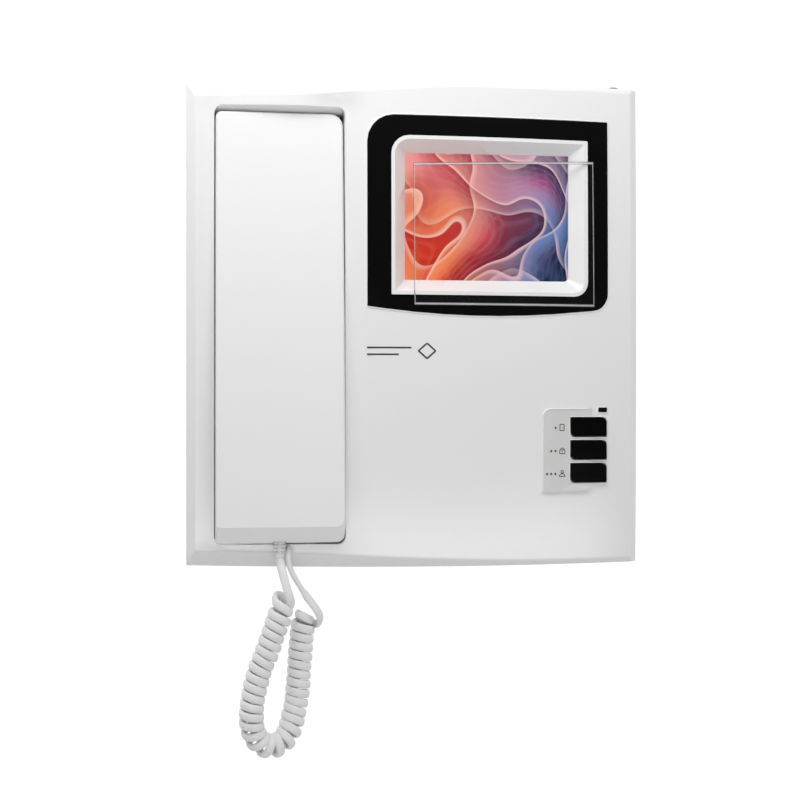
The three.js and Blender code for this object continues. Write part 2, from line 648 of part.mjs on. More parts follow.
// Rings of small sound holes through the back shell around (x, y).
function holeRing(x, y, count, radii) {
  const hole = (px, py) => discZ(px, py, 1.1, -36, -12, 8);
  const ring = radii.flatMap((radius) => steps(0, count - 1, count - 1).map((i) => {
    const angle = (i / count) * 2 * Math.PI;
    return hole(x + radius * Math.cos(angle), y + radius * Math.sin(angle));
  }));
  return [hole(x, y), ...ring];
}

const BOOT = { x: -0.4, z: -9.9, width: 5.2, depth: 3.6, top: -96, bottom: -110.2 };

const bootSeat = () => block(
  BOOT.x - BOOT.width / 2 - GAP, BOOT.x + BOOT.width / 2 + GAP, -106, BOOT.top + GAP,
  BOOT.z - BOOT.depth / 2 - GAP, BOOT.z + BOOT.depth / 2 + GAP);

function strainRelief() {
  const { x, z, width, depth, top, bottom } = BOOT;
  const [w, d] = [width / 2, depth / 2];
  const body = block(x - w, x + w, bottom + 2, top, z - d, z + d);
  const collar = block(x - w + 0.7, x + w - 0.7, bottom, bottom + 3, z - d + 0.3, z + d - 0.3);
  const grooves = [-104, -105.7, -107.4].flatMap((y) => [
    block(x - w - 1, x - 0.7, y - 0.4, y + 0.4, z + d - 0.8, z + d + 1),
    block(x + 0.7, x + w + 1, y - 0.4, y + 0.4, z + d - 0.8, z + d + 1)]);
  return cut(join(body, collar), ...grooves);
}

const receiverCapsule = () =>
  join(discZ(0, 76, 17, -17.4, -10.6, 32), discZ(0, 76, 12, -12, -6.5, 24));
const microphoneCapsule = () =>
  join(discZ(0, -84, 6.5, -26.4, -20.5, 20), discZ(0, -84, 4.5, -21, -19, 16));
const handsetWeight = () => block(-14, 14, -30, 24, -15.4, -10.6);

function handsetScrew([x, y]) {
  const head = discZ(x, y, 2.8, -16.7, -15.2, 14);
  const shank = discZ(x, y, 1.3, -16, -8, 12);
  return cut(join(head, shank), driverSlot(x, y, -18, -16.1));
}

// ---------------------------------------------------------------- cord

const HANDSET_LEAD = [
  [-65.9, -110.4, 52.9], [-65.4, -113.5, 54.4], [-64.6, -116.9, 56.4], [-63.1, -122.6, 58.4],
  [-62.3, -125.4, 58.9],
];
const BASE_LEAD = [
  [-61.3, -105.9, 51], [-61.4, -106.3, 52.4], [-62, -109.4, 53.9], [-61.6, -113.9, 54],
  [-59, -119.1, 53], [-55.2, -125.6, 52], [-50.4, -132.1, 51.5], [-47, -136.8, 51],
];
const COIL_PATH = [
  [-63.2, -127.6, 54], [-64.4, -131.8, 54], [-66.5, -138.6, 54], [-69.3, -146.2, 54], [-71.9, -153.9, 54],
  [-75, -161.5, 54], [-77.1, -169.2, 54], [-78.6, -176.8, 54], [-79, -184.5, 53.6], [-78, -191, 52.6],
  [-74.6, -196.3, 51.2],
  [-69.2, -198.4, 50], [-63.9, -196, 48.8], [-60.8, -191, 47.6], [-59.3, -185.5, 46.6], [-57.8, -179.1, 46],
  [-56.9, -171.3, 46], [-56.4, -163.5, 46], [-55.8, -155.7, 46], [-55.2, -147.8, 46], [-54.4, -141, 46],
  [-53.8, -136.4, 46],
];

function roundTube(points, diameter, sides, segments) {
  const path = new THREE.CatmullRomCurve3(points.map((point) => new THREE.Vector3(...point)));
  const section = new THREE.Shape(steps(0, sides - 1, sides - 1).map((i) => {
    const angle = (i / sides) * 2 * Math.PI;
    return new THREE.Vector2((diameter / 2) * Math.cos(angle), (diameter / 2) * Math.sin(angle));
  }));
  return new THREE.ExtrudeGeometry(section, { steps: segments, extrudePath: path, bevelEnabled: false });
}

// ---------------------------------------------------------------- assembly

function named(name, shape, material, parent) {
  const geometry = shape.isBufferGeometry ? shape : geometryOf(shape);
  const mesh = new THREE.Mesh(geometry, material);
  mesh.name = name;
  parent.add(mesh);
  return mesh;
}

const monitor = new THREE.Group();
monitor.rotation.x = Math.PI / 2;

named('wall_bracket', wallBracket(), STEEL, monitor);
named('rear_cover', rearCover(), WHITE, monitor);
named('front_cover', frontCover(), WHITE, monitor);
COVER_SCREWS.forEach((spot, i) => named(`cover_screw_${i + 1}`, coverScrew(spot), STEEL, monitor));

named('bezel_plate', bezelPlate(), GLOSS_BLACK, monitor);
named('screen_frame', screenFrame(), WHITE, monitor);
named('screen_film', screenFilm(), CLEAR, monitor);
named('lcd_panel', lcdPanel(), DISPLAY, monitor);
named('lcd_tray', lcdTray(), STEEL, monitor);

for (const row of [0, 1, 2]) {
  named(`button_${row + 1}`, button(row), BUTTON_BLACK, monitor);
  named(`button_switch_${row + 1}`, buttonSwitch(row), DARK_PLASTIC, monitor);
}
named('button_board', buttonBoard(), BOARD_GREEN, monitor);
named('label_plate', labelPlate(), LABEL_WHITE, monitor);
named('indicator_lens', indicatorLens(), GLOSS_BLACK, monitor);
named('indicator_led', indicatorLed(), LAMP_RED, monitor);

named('main_board', mainBoard(), BOARD_GREEN, monitor);
BOARD_POSTS.forEach((spot, i) => named(`board_screw_${i + 1}`, boardScrew(spot), STEEL, monitor));
named('transformer', transformer(), COPPER, monitor);
named('capacitor_1', capacitor(56, -86, 6.3, 17), CAPACITOR_BLUE, monitor);
named('capacitor_2', capacitor(78, -80, 5, 15), CAPACITOR_BLUE, monitor);
named('terminal_block', terminalBlock(), DARK_PLASTIC, monitor);
named('ribbon_connector', ribbonConnector(), DARK_PLASTIC, monitor);
named('ribbon_cable', ribbonCable(), GREY_RIBBON, monitor);
named('call_speaker', callSpeaker(), DARK_PLASTIC, monitor);
named('hook_switch', hookSwitch(), DARK_PLASTIC, monitor);
named('hook_plunger', hookPlunger(), WHITE, monitor);
named('brightness_pot', brightnessPot(), DARK_PLASTIC, monitor);
named('brightness_wheel', brightnessWheel(), DARK_PLASTIC, monitor).position.set(WHEEL.x, WHEEL.y, 0);
named('cord_grommet', cordGrommet(), CORD_WHITE, monitor);

const handset = new THREE.Group();
handset.position.set(HANDSET.x, HANDSET.y, HANDSET.z);
handset.rotation.x = -HANDSET.tilt;
monitor.add(handset);
named('handset_front', handsetFront(), WHITE, handset);
named('handset_back', handsetBack(), WHITE, handset);
named('receiver_capsule', receiverCapsule(), DARK_PLASTIC, handset);
named('microphone_capsule', microphoneCapsule(), DARK_PLASTIC, handset);
named('handset_weight', handsetWeight(), STEEL, handset);
SCREW_SPOTS.forEach((spot, i) => named(`handset_screw_${i + 1}`, handsetScrew(spot), STEEL, handset));
named('handset_strain_relief', strainRelief(), CORD_WHITE, handset);

named('cord_lead_handset', roundTube(HANDSET_LEAD, CORD.lead, 8, 6), CORD_WHITE, monitor);
named('cord_coil', roundTube(COIL_PATH, CORD.coil, 12, 40), CORD_WHITE, monitor);
named('cord_lead_base', roundTube(BASE_LEAD, CORD.lead, 8, 12), CORD_WHITE, monitor);

export default monitor;
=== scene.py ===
"""Looks of the video intercom monitor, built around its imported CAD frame.

Everything is in the CAD frame, in metres: +X right, +Y into the wall, +Z up. Shapes are first worked out
in the part's own drawing axes, in millimetres: x right, y up, z out from the wall.
"""
import math

import bmesh
import bpy
import numpy as np
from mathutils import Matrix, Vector

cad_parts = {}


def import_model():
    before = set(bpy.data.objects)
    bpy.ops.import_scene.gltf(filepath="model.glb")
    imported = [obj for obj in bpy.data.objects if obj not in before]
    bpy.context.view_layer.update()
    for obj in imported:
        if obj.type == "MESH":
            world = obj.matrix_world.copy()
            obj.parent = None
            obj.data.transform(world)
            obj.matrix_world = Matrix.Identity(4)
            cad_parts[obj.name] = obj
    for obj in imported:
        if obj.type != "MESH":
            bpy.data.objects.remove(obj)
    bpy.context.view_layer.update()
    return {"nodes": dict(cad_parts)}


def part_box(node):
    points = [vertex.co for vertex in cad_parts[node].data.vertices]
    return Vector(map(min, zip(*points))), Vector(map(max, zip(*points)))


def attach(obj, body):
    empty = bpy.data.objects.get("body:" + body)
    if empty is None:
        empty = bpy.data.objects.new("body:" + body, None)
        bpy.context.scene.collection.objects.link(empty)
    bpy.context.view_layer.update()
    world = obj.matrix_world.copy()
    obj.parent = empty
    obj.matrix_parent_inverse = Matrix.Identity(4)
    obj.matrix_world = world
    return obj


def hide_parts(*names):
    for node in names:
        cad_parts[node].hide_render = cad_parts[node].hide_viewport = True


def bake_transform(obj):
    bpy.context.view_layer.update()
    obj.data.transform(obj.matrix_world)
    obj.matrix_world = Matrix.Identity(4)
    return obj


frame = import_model()

MM = 0.001
TAU = 2 * math.pi


def world(points):
    """Drawing points (x right, y up, z out; mm) to the CAD frame in metres."""
    p = np.atleast_2d(np.asarray(points, float))
    return np.column_stack([p[:, 0], -p[:, 2], p[:, 1]]) * MM


# ---------------------------------------------------------------- camera

CAMERA_AT = (-0.09775, -0.7074, -0.0364)
CAMERA_YAW = -7.7
CAMERA_LENS = 63


def make_camera():
    data = bpy.data.cameras.new("camera")
    data.lens = CAMERA_LENS
    data.sensor_width = 36
    data.clip_start = 0.01
    camera = bpy.data.objects.new("camera", data)
    camera.location = CAMERA_AT
    camera.rotation_euler = (math.radians(90), 0, math.radians(CAMERA_YAW))
    bpy.context.scene.collection.objects.link(camera)
    bpy.context.scene.camera = camera


make_camera()

# ---------------------------------------------------------------- mesh helpers


def mesh_object(name, vertices, faces, smooth=True):
    mesh = bpy.data.meshes.new(name)
    mesh.from_pydata([tuple(v) for v in vertices], [], [tuple(int(i) for i in f) for f in faces])
    mesh.validate()
    mesh.polygons.foreach_set("use_smooth", [smooth] * len(mesh.polygons))
    mesh.update()
    obj = bpy.data.objects.new(name, mesh)
    bpy.context.scene.collection.objects.link(obj)
    return obj


def apply_modifiers(obj):
    """Turns the object's mesh into its evaluated mesh, with no modifiers left."""
    evaluated = obj.evaluated_get(bpy.context.evaluated_depsgraph_get())
    mesh = bpy.data.meshes.new_from_object(evaluated)
    obj.modifiers.clear()
    obj.data = mesh
    return obj


def sharpen_by_angle(obj, degrees=32):
    """Smooth shading, with edges sharper than the angle kept crisp."""
    mesh = obj.data
    mesh.polygons.foreach_set("use_smooth", [True] * len(mesh.polygons))
    mesh.set_sharp_from_angle(angle=math.radians(degrees))
    return obj


def refined(node, body, width, material, segments=2, name=None):
    """A copy of a CAD node with its edges rounded, which stands for that node."""
    source = frame["nodes"][node]
    mesh = source.data.copy()
    work = bmesh.new()
    work.from_mesh(mesh)
    bmesh.ops.remove_doubles(work, verts=work.verts, dist=2e-6)
    bmesh.ops.dissolve_limit(work, angle_limit=math.radians(0.25), verts=work.verts, edges=work.edges)
    work.to_mesh(mesh)
    work.free()
    obj = bpy.data.objects.new(name or f"{node}_fine", mesh)
    bpy.context.scene.collection.objects.link(obj)
    bevel = obj.modifiers.new("edges", "BEVEL")
    bevel.width = width * MM
    bevel.segments = segments
    bevel.limit_method = "ANGLE"
    bevel.angle_limit = math.radians(34)
    bevel.harden_normals = False
    bevel.use_clamp_overlap = True
    apply_modifiers(obj)
    sharpen_by_angle(obj, 40)
    # Large flat faces keep their own shading beside the rounded edges.
    flat = obj.modifiers.new("flat", "WEIGHTED_NORMAL")
    flat.keep_sharp = True
    flat.weight = 100
    apply_modifiers(obj)
    obj.data.materials.clear()
    obj.data.materials.append(material)
    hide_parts(node)
    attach(obj, body)
    return obj


# ---------------------------------------------------------------- curves


def catmull(points, per_span):
    """A smooth curve through the points, with per_span samples between neighbours."""
    p = np.asarray(points, float)
    p = np.vstack([2 * p[0] - p[1], p, 2 * p[-1] - p[-2]])
    t = np.linspace(0, 1, per_span, endpoint=False)[:, None]
    spans = []
    for a, b, c, d in zip(p, p[1:], p[2:], p[3:]):
        square = 2 * a - 5 * b + 4 * c - d
        cube = 3 * b - a - 3 * c + d
        spans.append(0.5 * (2 * b + (c - a) * t + square * t**2 + cube * t**3))
    return np.vstack([*spans, p[-2:-1]])


def lengths(curve):
    return np.concatenate([[0], np.cumsum(np.linalg.norm(np.diff(curve, axis=0), axis=1))])


def resample(curve, step):
    s = lengths(curve)
    at = np.linspace(0, s[-1], max(2, int(round(s[-1] / step)) + 1))
    return np.column_stack([np.interp(at, s, curve[:, k]) for k in range(3)])


def unit(v):
    return v / np.maximum(np.linalg.norm(v, axis=-1, keepdims=True), 1e-9)


# ---------------------------------------------------------------- curly cord

CORD_WIDTH = 4.0
CORD_THICKNESS = 2.5
COIL_RADIUS = 4.8  # from the coil's axis to the middle of the flat cord
ARM_PITCH = 4.3
BEND_PITCH = 5.0
TURN_STEPS = 22

# The coil's axis, from under the handset down, round the bottom of the loop and up to the case.
COIL_PATH = [
    (-63.2, -127.6, 54), (-64.4, -131.8, 54), (-66.5, -138.6, 54), (-69.3, -146.2, 54), (-71.9, -153.9, 54),
    (-75, -161.5, 54), (-77.1, -169.2, 54), (-78.6, -176.8, 54), (-79, -184.5, 53.6), (-78, -191, 52.6),
    (-74.6, -196.3, 51.2),
    (-69.2, -198.4, 50), (-63.9, -196, 48.8), (-60.8, -191, 47.6), (-59.3, -185.5, 46.6), (-57.8, -179.1, 46),
    (-56.9, -171.3, 46), (-56.4, -163.5, 46), (-55.8, -155.7, 46), (-55.2, -147.8, 46), (-54.4, -141, 46),
    (-53.8, -136.4, 46),
]
# The plain stretch out of the handset's strain relief, and the coil's loose first turn after it.
HANDSET_LEAD = [
    (-65.9, -109.4, 52.4), (-65.4, -113.5, 54.4), (-64.6, -116.9, 56.4), (-63.1, -122.6, 58.4),
    (-62.3, -125.4, 58.9),
]
FIRST_TURN = [
    (-60.9, -129.6, 58.4), (-60.0, -132.4, 56.6), (-60.6, -132.4, 52.8), (-62.2, -130.4, 49.8),
    (-64.8, -128.2, 48.6), (-67.2, -127.0, 49.8), (-68.4, -127.6, 52.4), (-68.6, -130.4, 55.6),
    (-66.6, -131.4, 58.4), (-63.8, -132.8, 59.4), (-61.3, -135.0, 58.2),
]
# The coil's loose last turn, and the plain stretch from the bottom of the case that it joins.
LAST_TURN = [
    (-53, -139, 50.6), (-56, -137.2, 49.6), (-57.8, -136.6, 46.8), (-57, -137.8, 43.4),
    (-53.8, -140.2, 41.6), (-50.4, -142, 42.8), (-47.8, -142.8, 45.8), (-46.4, -140.8, 49.2),
]
BASE_LEAD = [
    (-61.3, -105.9, 49.6), (-61.4, -106.3, 52.4), (-62, -109.4, 53.9), (-61.6, -113.9, 54),
    (-59, -119.1, 53), (-55.2, -125.6, 52), (-50.4, -132.1, 51.5), (-47, -136.8, 51),
]
COIL_START = 7.0
COIL_END = 6.2
START_PHASE = math.radians(15)
END_PHASE = math.radians(-165)


# The real cord has 33 turns of 30.5 mm and 65 mm of plain leads.
# How far along, in points, each join between a lead and the coil is eased, and how many times.
JOIN_REACH = 6
JOIN_ROUNDS = 20


def relaxed(points, step=0.5, rounds=60):
    """A lead with its bends eased out, as a limp cord lies, and its two ends held."""
    line = resample(points, step)
    for _ in range(rounds):
        line[1:-1] = (line[:-2] + 2 * line[1:-1] + line[2:]) / 4
    return line


def coil_curve():
    """The flat cord's middle line through the coil, and its outward direction at each point."""
    axis = resample(catmull(COIL_PATH, 12), 0.25)
    s = lengths(axis)
    tangent = unit(np.gradient(axis, axis=0))
    front = unit(np.array([0, 0, 1.0]) - tangent * tangent[:, 2:3])
    inner = np.cross(front, tangent)
    bend = np.exp(-(((s - s[np.argmin(axis[:, 1])]) / 14.0) ** 4))
    pitch = ARM_PITCH + (BEND_PITCH - ARM_PITCH) * bend[1:]
    turns = np.concatenate([[0], np.cumsum(np.diff(s) / pitch)])
    first, last = np.interp([COIL_START, s[-1] - COIL_END], s, turns)
    whole = math.floor(last - first) + ((START_PHASE - END_PHASE) / TAU) % 1
    samples = int(whole * TURN_STEPS)
    along = np.interp(np.linspace(first, first + whole, samples), turns, s)
    angle = START_PHASE - np.linspace(0, whole, samples) * TAU

    def pick(values):
        return np.column_stack([np.interp(along, s, values[:, k]) for k in range(3)])

    outward = unit(pick(inner) * np.cos(angle)[:, None] + pick(front) * np.sin(angle)[:, None])
    breathing = 1 + 0.02 * np.sin(np.linspace(0, whole, samples) * 1.7)
    return pick(axis) + outward * (COIL_RADIUS * breathing)[:, None], outward


def lead_facing(points, tail):
    """Thin-side directions along a lead: outward from the coil near it, forward on the plain stretch."""
    axis = resample(catmull(COIL_PATH, 12), 0.5)
    nearest = axis[np.argmin(np.linalg.norm(points[:, None] - axis[None], axis=2), axis=1)]
    away = points - nearest
    loose = np.linalg.norm(away, axis=1)
    blend = np.clip((11 - loose) / 4, 0, 1)[:, None]
    return unit(away) * blend + tail * (1 - blend)


def cord_curve():
    coil, outward = coil_curve()
    start = catmull([*HANDSET_LEAD, *FIRST_TURN, coil[0], coil[3], coil[6]], 9)[: -2 * 9 - 1]
    start = relaxed(start)
    end = catmull([coil[-7], coil[-4], coil[-1], *LAST_TURN, *BASE_LEAD[::-1]], 9)[2 * 9 + 1:]
    end = relaxed(end)
    middle = np.vstack([start, coil, end])
    on_edge = np.clip((np.arange(len(end)) / len(end) - 0.6) / 0.2, 0, 1)[:, None]
    tail = np.array([0.3, 0, 1.0]) * (1 - on_edge) + np.array([1.0, 0.1, 0.15]) * on_edge
    ahead = np.tile([0, 0, 1.0], (len(start), 1))
    facing = np.vstack([lead_facing(start, ahead), outward, lead_facing(end, tail)])
    for _ in range(10):
        facing[1:-1] = (facing[:-2] + 2 * facing[1:-1] + facing[2:]) / 4
    for _ in range(3):
        middle[1:-1] = (middle[:-2] + 4 * middle[1:-1] + middle[2:]) / 6
    # The two joins between the leads and the coil are eased, and nothing else.
    place = np.arange(1, len(middle) - 1)
    joins = (len(start), len(start) + len(coil))
    share = sum(np.exp(-(((place - join) / JOIN_REACH) ** 2)) for join in joins)[:, None]
    for _ in range(JOIN_ROUNDS):
        middle[1:-1] += share * (middle[:-2] / 2 + middle[2:] / 2 - middle[1:-1]) / 2
    return middle, facing


def sweep(middle, facing, width, thickness, sides=14):
    """A flat rounded strip along a curve: `facing` is the direction of its thin side."""
    tangent = unit(np.gradient(middle, axis=0))
    normal = unit(facing - tangent * np.sum(facing * tangent, axis=1, keepdims=True))
    across = np.cross(tangent, normal)
    angles = np.arange(sides) / sides * TAU
    c, s = np.cos(angles), np.sin(angles)
    u = np.sign(c) * np.abs(c) ** 0.75 * width / 2
    v = np.sign(s) * np.abs(s) ** 0.95 * thickness / 2
    rings = middle[:, None] + across[:, None] * u[None, :, None] + normal[:, None] * v[None, :, None]
    count = len(middle)
    faces = []
    for i in range(count - 1):
        for k in range(sides):
            a, b = i * sides + k, i * sides + (k + 1) % sides
            faces.append((a, b, b + sides, a + sides))
    faces.append(tuple(range(sides))[::-1])
    faces.append(tuple((count - 1) * sides + k for k in range(sides)))
    return rings.reshape(-1, 3), faces


def make_cord():
    sides = 14
    middle, facing = cord_curve()
    vertices, faces = sweep(middle, facing, CORD_WIDTH, CORD_THICKNESS, sides)
    cord = mesh_object("curly_cord", world(vertices), faces)
    s = lengths(middle)
    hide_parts("cord_lead_handset", "cord_coil", "cord_lead_base")
    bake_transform(cord)
    # How far along the cord the first plain stretch ends, where the coil's first turn starts.
    lead = s[np.argmin(np.linalg.norm(middle - coil_curve()[0][0], axis=1))]
    return cord


cord = make_cord()

# ---------------------------------------------------------------- materials


class Nodes:
    """A material with short names for the nodes that it uses."""

    def __init__(self, name):
        self.material = bpy.data.materials.new(name)
        self.material.use_nodes = True
        self.tree = self.material.node_tree
        self.shader = self.tree.nodes["Principled BSDF"]
        self.place = self.tree.nodes.new("ShaderNodeTexCoord").outputs["Object"]

    def link(self, source, target):
        self.tree.links.new(source, target)
        return source

    def noise(self, scale, detail=4.0, roughness=0.55, stretch=None, distortion=0.0):
        node = self.tree.nodes.new("ShaderNodeTexNoise")
        node.inputs["Scale"].default_value = scale
        node.inputs["Detail"].default_value = detail
        node.inputs["Roughness"].default_value = roughness
        node.inputs["Distortion"].default_value = distortion
        source = self.place
        if stretch:
            source = self.mapping(stretch)
        self.link(source, node.inputs["Vector"])
        return node.outputs["Fac"]

    def mapping(self, scale, location=(0, 0, 0)):
        node = self.tree.nodes.new("ShaderNodeMapping")
        node.inputs["Scale"].default_value = scale
        node.inputs["Location"].default_value = location
        self.link(self.place, node.inputs["Vector"])
        return node.outputs["Vector"]

    def math(self, operation, a, b=None, clamp=False):
        node = self.tree.nodes.new("ShaderNodeMath")
        node.operation = operation
        node.use_clamp = clamp
        for socket, value in zip(node.inputs, (a, b)):
            if value is None:
                continue
            if isinstance(value, (int, float)):
                socket.default_value = value
            else:
                self.link(value, socket)
        return node.outputs["Value"]

    def remap(self, value, low, high, to_low, to_high):
        node = self.tree.nodes.new("ShaderNodeMapRange")
        node.clamp = True
        for name, number in (("From Min", low), ("From Max", high), ("To Min", to_low), ("To Max", to_high)):
            node.inputs[name].default_value = number
        self.link(value, node.inputs["Value"])
        return node.outputs["Result"]

    def mix(self, factor, a, b, blend="MIX"):
        node = self.tree.nodes.new("ShaderNodeMix")
        node.data_type = "RGBA"
        node.blend_type = blend
        sockets = {"Factor": node.inputs[0], "A": node.inputs[6], "B": node.inputs[7]}
        for key, value in (("Factor", factor), ("A", a), ("B", b)):
            if isinstance(value, (int, float)):
                sockets[key].default_value = value
            elif isinstance(value, tuple):
                sockets[key].default_value = (*value, 1.0)[:4]
            else:
                self.link(value, sockets[key])
        return node.outputs[2]

    def bump(self, height, strength, distance, under=None):
        node = self.tree.nodes.new("ShaderNodeBump")
        node.inputs["Strength"].default_value = strength
        node.inputs["Distance"].default_value = distance
        self.link(height, node.inputs["Height"])
        if under is not None:
            self.link(under, node.inputs["Normal"])
        return node.outputs["Normal"]

    def pointiness(self):
        return self.tree.nodes.new("ShaderNodeNewGeometry").outputs["Pointiness"]

    def set(self, **values):
        for name, value in values.items():
            self.shader.inputs[name.replace("_", " ")].default_value = value


GRAIN_SCALE = 2600.0


def plastic(name, colour, roughness, grain=0.25, mottle=0.03, coat=0.0, level=0.5, edge_wear_and_highlight=None):
    """Moulded plastic: faint mottling, fine spark-eroded grain, uneven sheen and lighter edges: light wear,
    and on the label plate a painted highlight.
    """
    n = Nodes(name)
    dark = tuple(c * (1 - mottle) for c in colour)
    base = n.mix(n.remap(n.noise(17, 2, 0.4), 0.25, 0.75, 0, 1), dark, colour)
    # Sharp edges take the edge colour: light wear on most plastics, a painted highlight on the label plate.
    edge = n.remap(n.pointiness(), 0.53, 0.62, 0, 0.5)
    base = n.mix(edge, base, edge_wear_and_highlight or tuple(min(1, c * 1.04 + 0.004) for c in colour))
    n.link(base, n.shader.inputs["Base Color"])
    uneven = n.noise(24, 3, 0.45)
    n.link(n.remap(uneven, 0.2, 0.8, roughness * 0.9, roughness * 1.1), n.shader.inputs["Roughness"])
    flow = n.bump(n.noise(14, 2), 0.06, 0.0006)
    n.link(n.bump(n.noise(GRAIN_SCALE, 3), grain, 0.00004, flow), n.shader.inputs["Normal"])
    n.set(Coat_Weight=coat, Coat_Roughness=0.06, Specular_IOR_Level=level)
    return n.material


def metal(name, colour, roughness, brush=(60, 900, 900)):
    n = Nodes(name)
    streak = n.noise(1, 5, 0.6, stretch=brush)
    cloud = n.noise(55, 4)
    base = n.mix(n.remap(cloud, 0.35, 0.7, 0, 1), tuple(c * 0.82 for c in colour), colour)
    n.link(base, n.shader.inputs["Base Color"])
    n.link(n.remap(streak, 0.3, 0.7, roughness * 0.8, roughness * 1.3), n.shader.inputs["Roughness"])
    n.link(n.bump(streak, 0.18, 0.00006), n.shader.inputs["Normal"])
    n.set(Metallic=1.0)
    return n.material


def board(name):
    """Green solder mask over copper tracks, with a grid of tinned pads."""
    n = Nodes(name)
    tracks = n.tree.nodes.new("ShaderNodeTexBrick")
    tracks.inputs["Scale"].default_value = 1.0
    tracks.inputs["Mortar Size"].default_value = 0.06
    tracks.inputs["Color1"].default_value = (0.012, 0.11, 0.045, 1)
    tracks.inputs["Color2"].default_value = (0.02, 0.15, 0.06, 1)
    tracks.inputs["Mortar"].default_value = (0.035, 0.22, 0.09, 1)
    turned = n.tree.nodes.new("ShaderNodeMapping")
    turned.inputs["Rotation"].default_value = (math.radians(90), 0, 0)
    turned.inputs["Scale"].default_value = (190, 190, 190)
    n.link(n.place, turned.inputs["Vector"])
    n.link(turned.outputs["Vector"], tracks.inputs["Vector"])
    pads = n.tree.nodes.new("ShaderNodeTexVoronoi")
    pads.inputs["Scale"].default_value = 1.0
    pads.inputs["Randomness"].default_value = 0.35
    n.link(turned.outputs["Vector"], pads.inputs["Vector"])
    pad = n.remap(pads.outputs["Distance"], 0.12, 0.16, 1, 0)
    n.link(n.mix(pad, tracks.outputs["Color"], (0.55, 0.53, 0.48)), n.shader.inputs["Base Color"])
    n.link(n.remap(pad, 0, 1, 0.42, 0.25), n.shader.inputs["Roughness"])
    n.link(n.bump(tracks.outputs["Fac"], 0.3, 0.00005), n.shader.inputs["Normal"])
    return n.material


WHITE = (0.84, 0.845, 0.84)
CASE_WHITE = plastic("case_white", WHITE, 0.2, grain=0.08, mottle=0.008)
HANDSET_WHITE = plastic("handset_white", (0.86, 0.865, 0.86), 0.2, grain=0.06, mottle=0.006)
FRAME_WHITE = plastic("frame_white", WHITE, 0.16, grain=0.05, mottle=0.006)
REAR_WHITE = plastic("rear_white", (0.78, 0.785, 0.775), 0.45, grain=0.4, mottle=0.03)
CORD_WHITE = plastic("cord_white", (0.82, 0.825, 0.82), 0.4, grain=0.2, mottle=0.03)
GLOSS_BLACK = plastic(
    "gloss_black", (0.004, 0.004, 0.0045), 0.16, grain=0.02, level=0.12, edge_wear_and_highlight=(0.012, 0.012, 0.013),
)
BUTTON_BLACK = plastic(
    "button_black", (0.0008, 0.0008, 0.0008), 0.3, grain=0.1, level=0.06, edge_wear_and_highlight=(0.01, 0.01, 0.01),
)
DARK_PLASTIC = plastic("dark_plastic", (0.02, 0.02, 0.022), 0.5, grain=0.4, edge_wear_and_highlight=(0.05, 0.05, 0.05))
# The label's edges are painted far lighter: a painted highlight where its rim catches the light.
LABEL_WHITE = plastic(
    "label_white", (0.66, 0.665, 0.655), 0.36, grain=0.15, mottle=0.02, edge_wear_and_highlight=(0.9, 0.9, 0.9),
)
RIBBON_GREY = plastic("ribbon_grey", (0.27, 0.28, 0.29), 0.55, grain=0.3, mottle=0.1)
SLEEVE_BLUE = plastic("sleeve_blue", (0.02, 0.045, 0.16), 0.35, grain=0.1)
LAMP_RED = plastic("lamp_red", (0.45, 0.012, 0.01), 0.12, grain=0.02, coat=0.5)
# A lighter copy of the case white for the raised rims: a painted highlight on top of the light that the rims
# catch.
LIP_HIGHLIGHT_WHITE = plastic("lip_highlight_white", (0.93, 0.935, 0.93), 0.22, grain=0.05, mottle=0.006)
INK = plastic("printed_ink", (0.045, 0.045, 0.047), 0.5, grain=0.2, mottle=0.2)
ZINC = metal("zinc_steel", (0.6, 0.61, 0.6), 0.36)
WINDING = metal("copper_winding", (0.55, 0.24, 0.1), 0.38, brush=(900, 60, 900))
BOARD = board("circuit_board")


def give(material, *nodes):
    for node in nodes:
        obj = frame["nodes"][node]
        obj.data.materials.clear()
        obj.data.materials.append(material)


cord.data.materials.append(CORD_WHITE)
give(ZINC, "lcd_tray", *[f"board_screw_{i}" for i in range(1, 5)], "handset_weight")
give(BOARD, "main_board", "button_board")
give(WINDING, "transformer")
give(SLEEVE_BLUE, "capacitor_1", "capacitor_2")
give(RIBBON_GREY, "ribbon_cable")
give(LAMP_RED, "indicator_led")
give(DARK_PLASTIC, "terminal_block", "ribbon_connector", "call_speaker", "hook_switch", "brightness_pot",
     "receiver_capsule", "microphone_capsule", *[f"button_switch_{i}" for i in range(1, 4)])

# ---------------------------------------------------------------- the convex case front

HALF_WIDTH = 109.2
HALF_HEIGHT = 115.6
FACE = 54.0
PARTING = 20.0
SIDE_BEVEL = 4.2
BEVEL_SLOPE = 0.6
EDGE_ROUND = 0.4
CRADLE = dict(left=-96.0, right=-35.0, bottom=-103.9, top=101.7, corner=3.6)
LIP_RADIUS = 0.3
TOP_WALL = 2.2  # how far the cradle's top wall slopes in
TOP_WALL_DEPTH = 6.2
TILT = math.radians(4.5)
HANDSET_AT = (-65.5, 0.75, 54.0)
HANDSET_BACK = ([-110, -58, -47, 42, 54, 104], [-29, -29, -18, -18, -20, -20])
CRADLE_CLEARANCE = 1.2
FLANK_DROP = 3.0
FLANK_REACH = 14
STRIP_DROP = 1.0


def smooth(value, low, high):
    t = np.clip((value - low) / (high - low), 0, 1)
    return t * t * (3 - 2 * t)


def face_height(x, y):
    return FACE - 8 * (x / HALF_WIDTH) ** 2 - 1.5 * (y / HALF_HEIGHT) ** 2


def half_height(x):
    return HALF_HEIGHT - 1.3 * ((x - 44) / 153) ** 2


def top_bevel(x):
    return 8 - 5.5 * smooth(x, -71, 34)


def bottom_bevel(x):
    return 7.6 - 5.3 * smooth(x, -101, 74)


def smooth_max(a, b, soft=0.35):
    return 0.5 * (a + b + np.sqrt((a - b) ** 2 + soft**2))


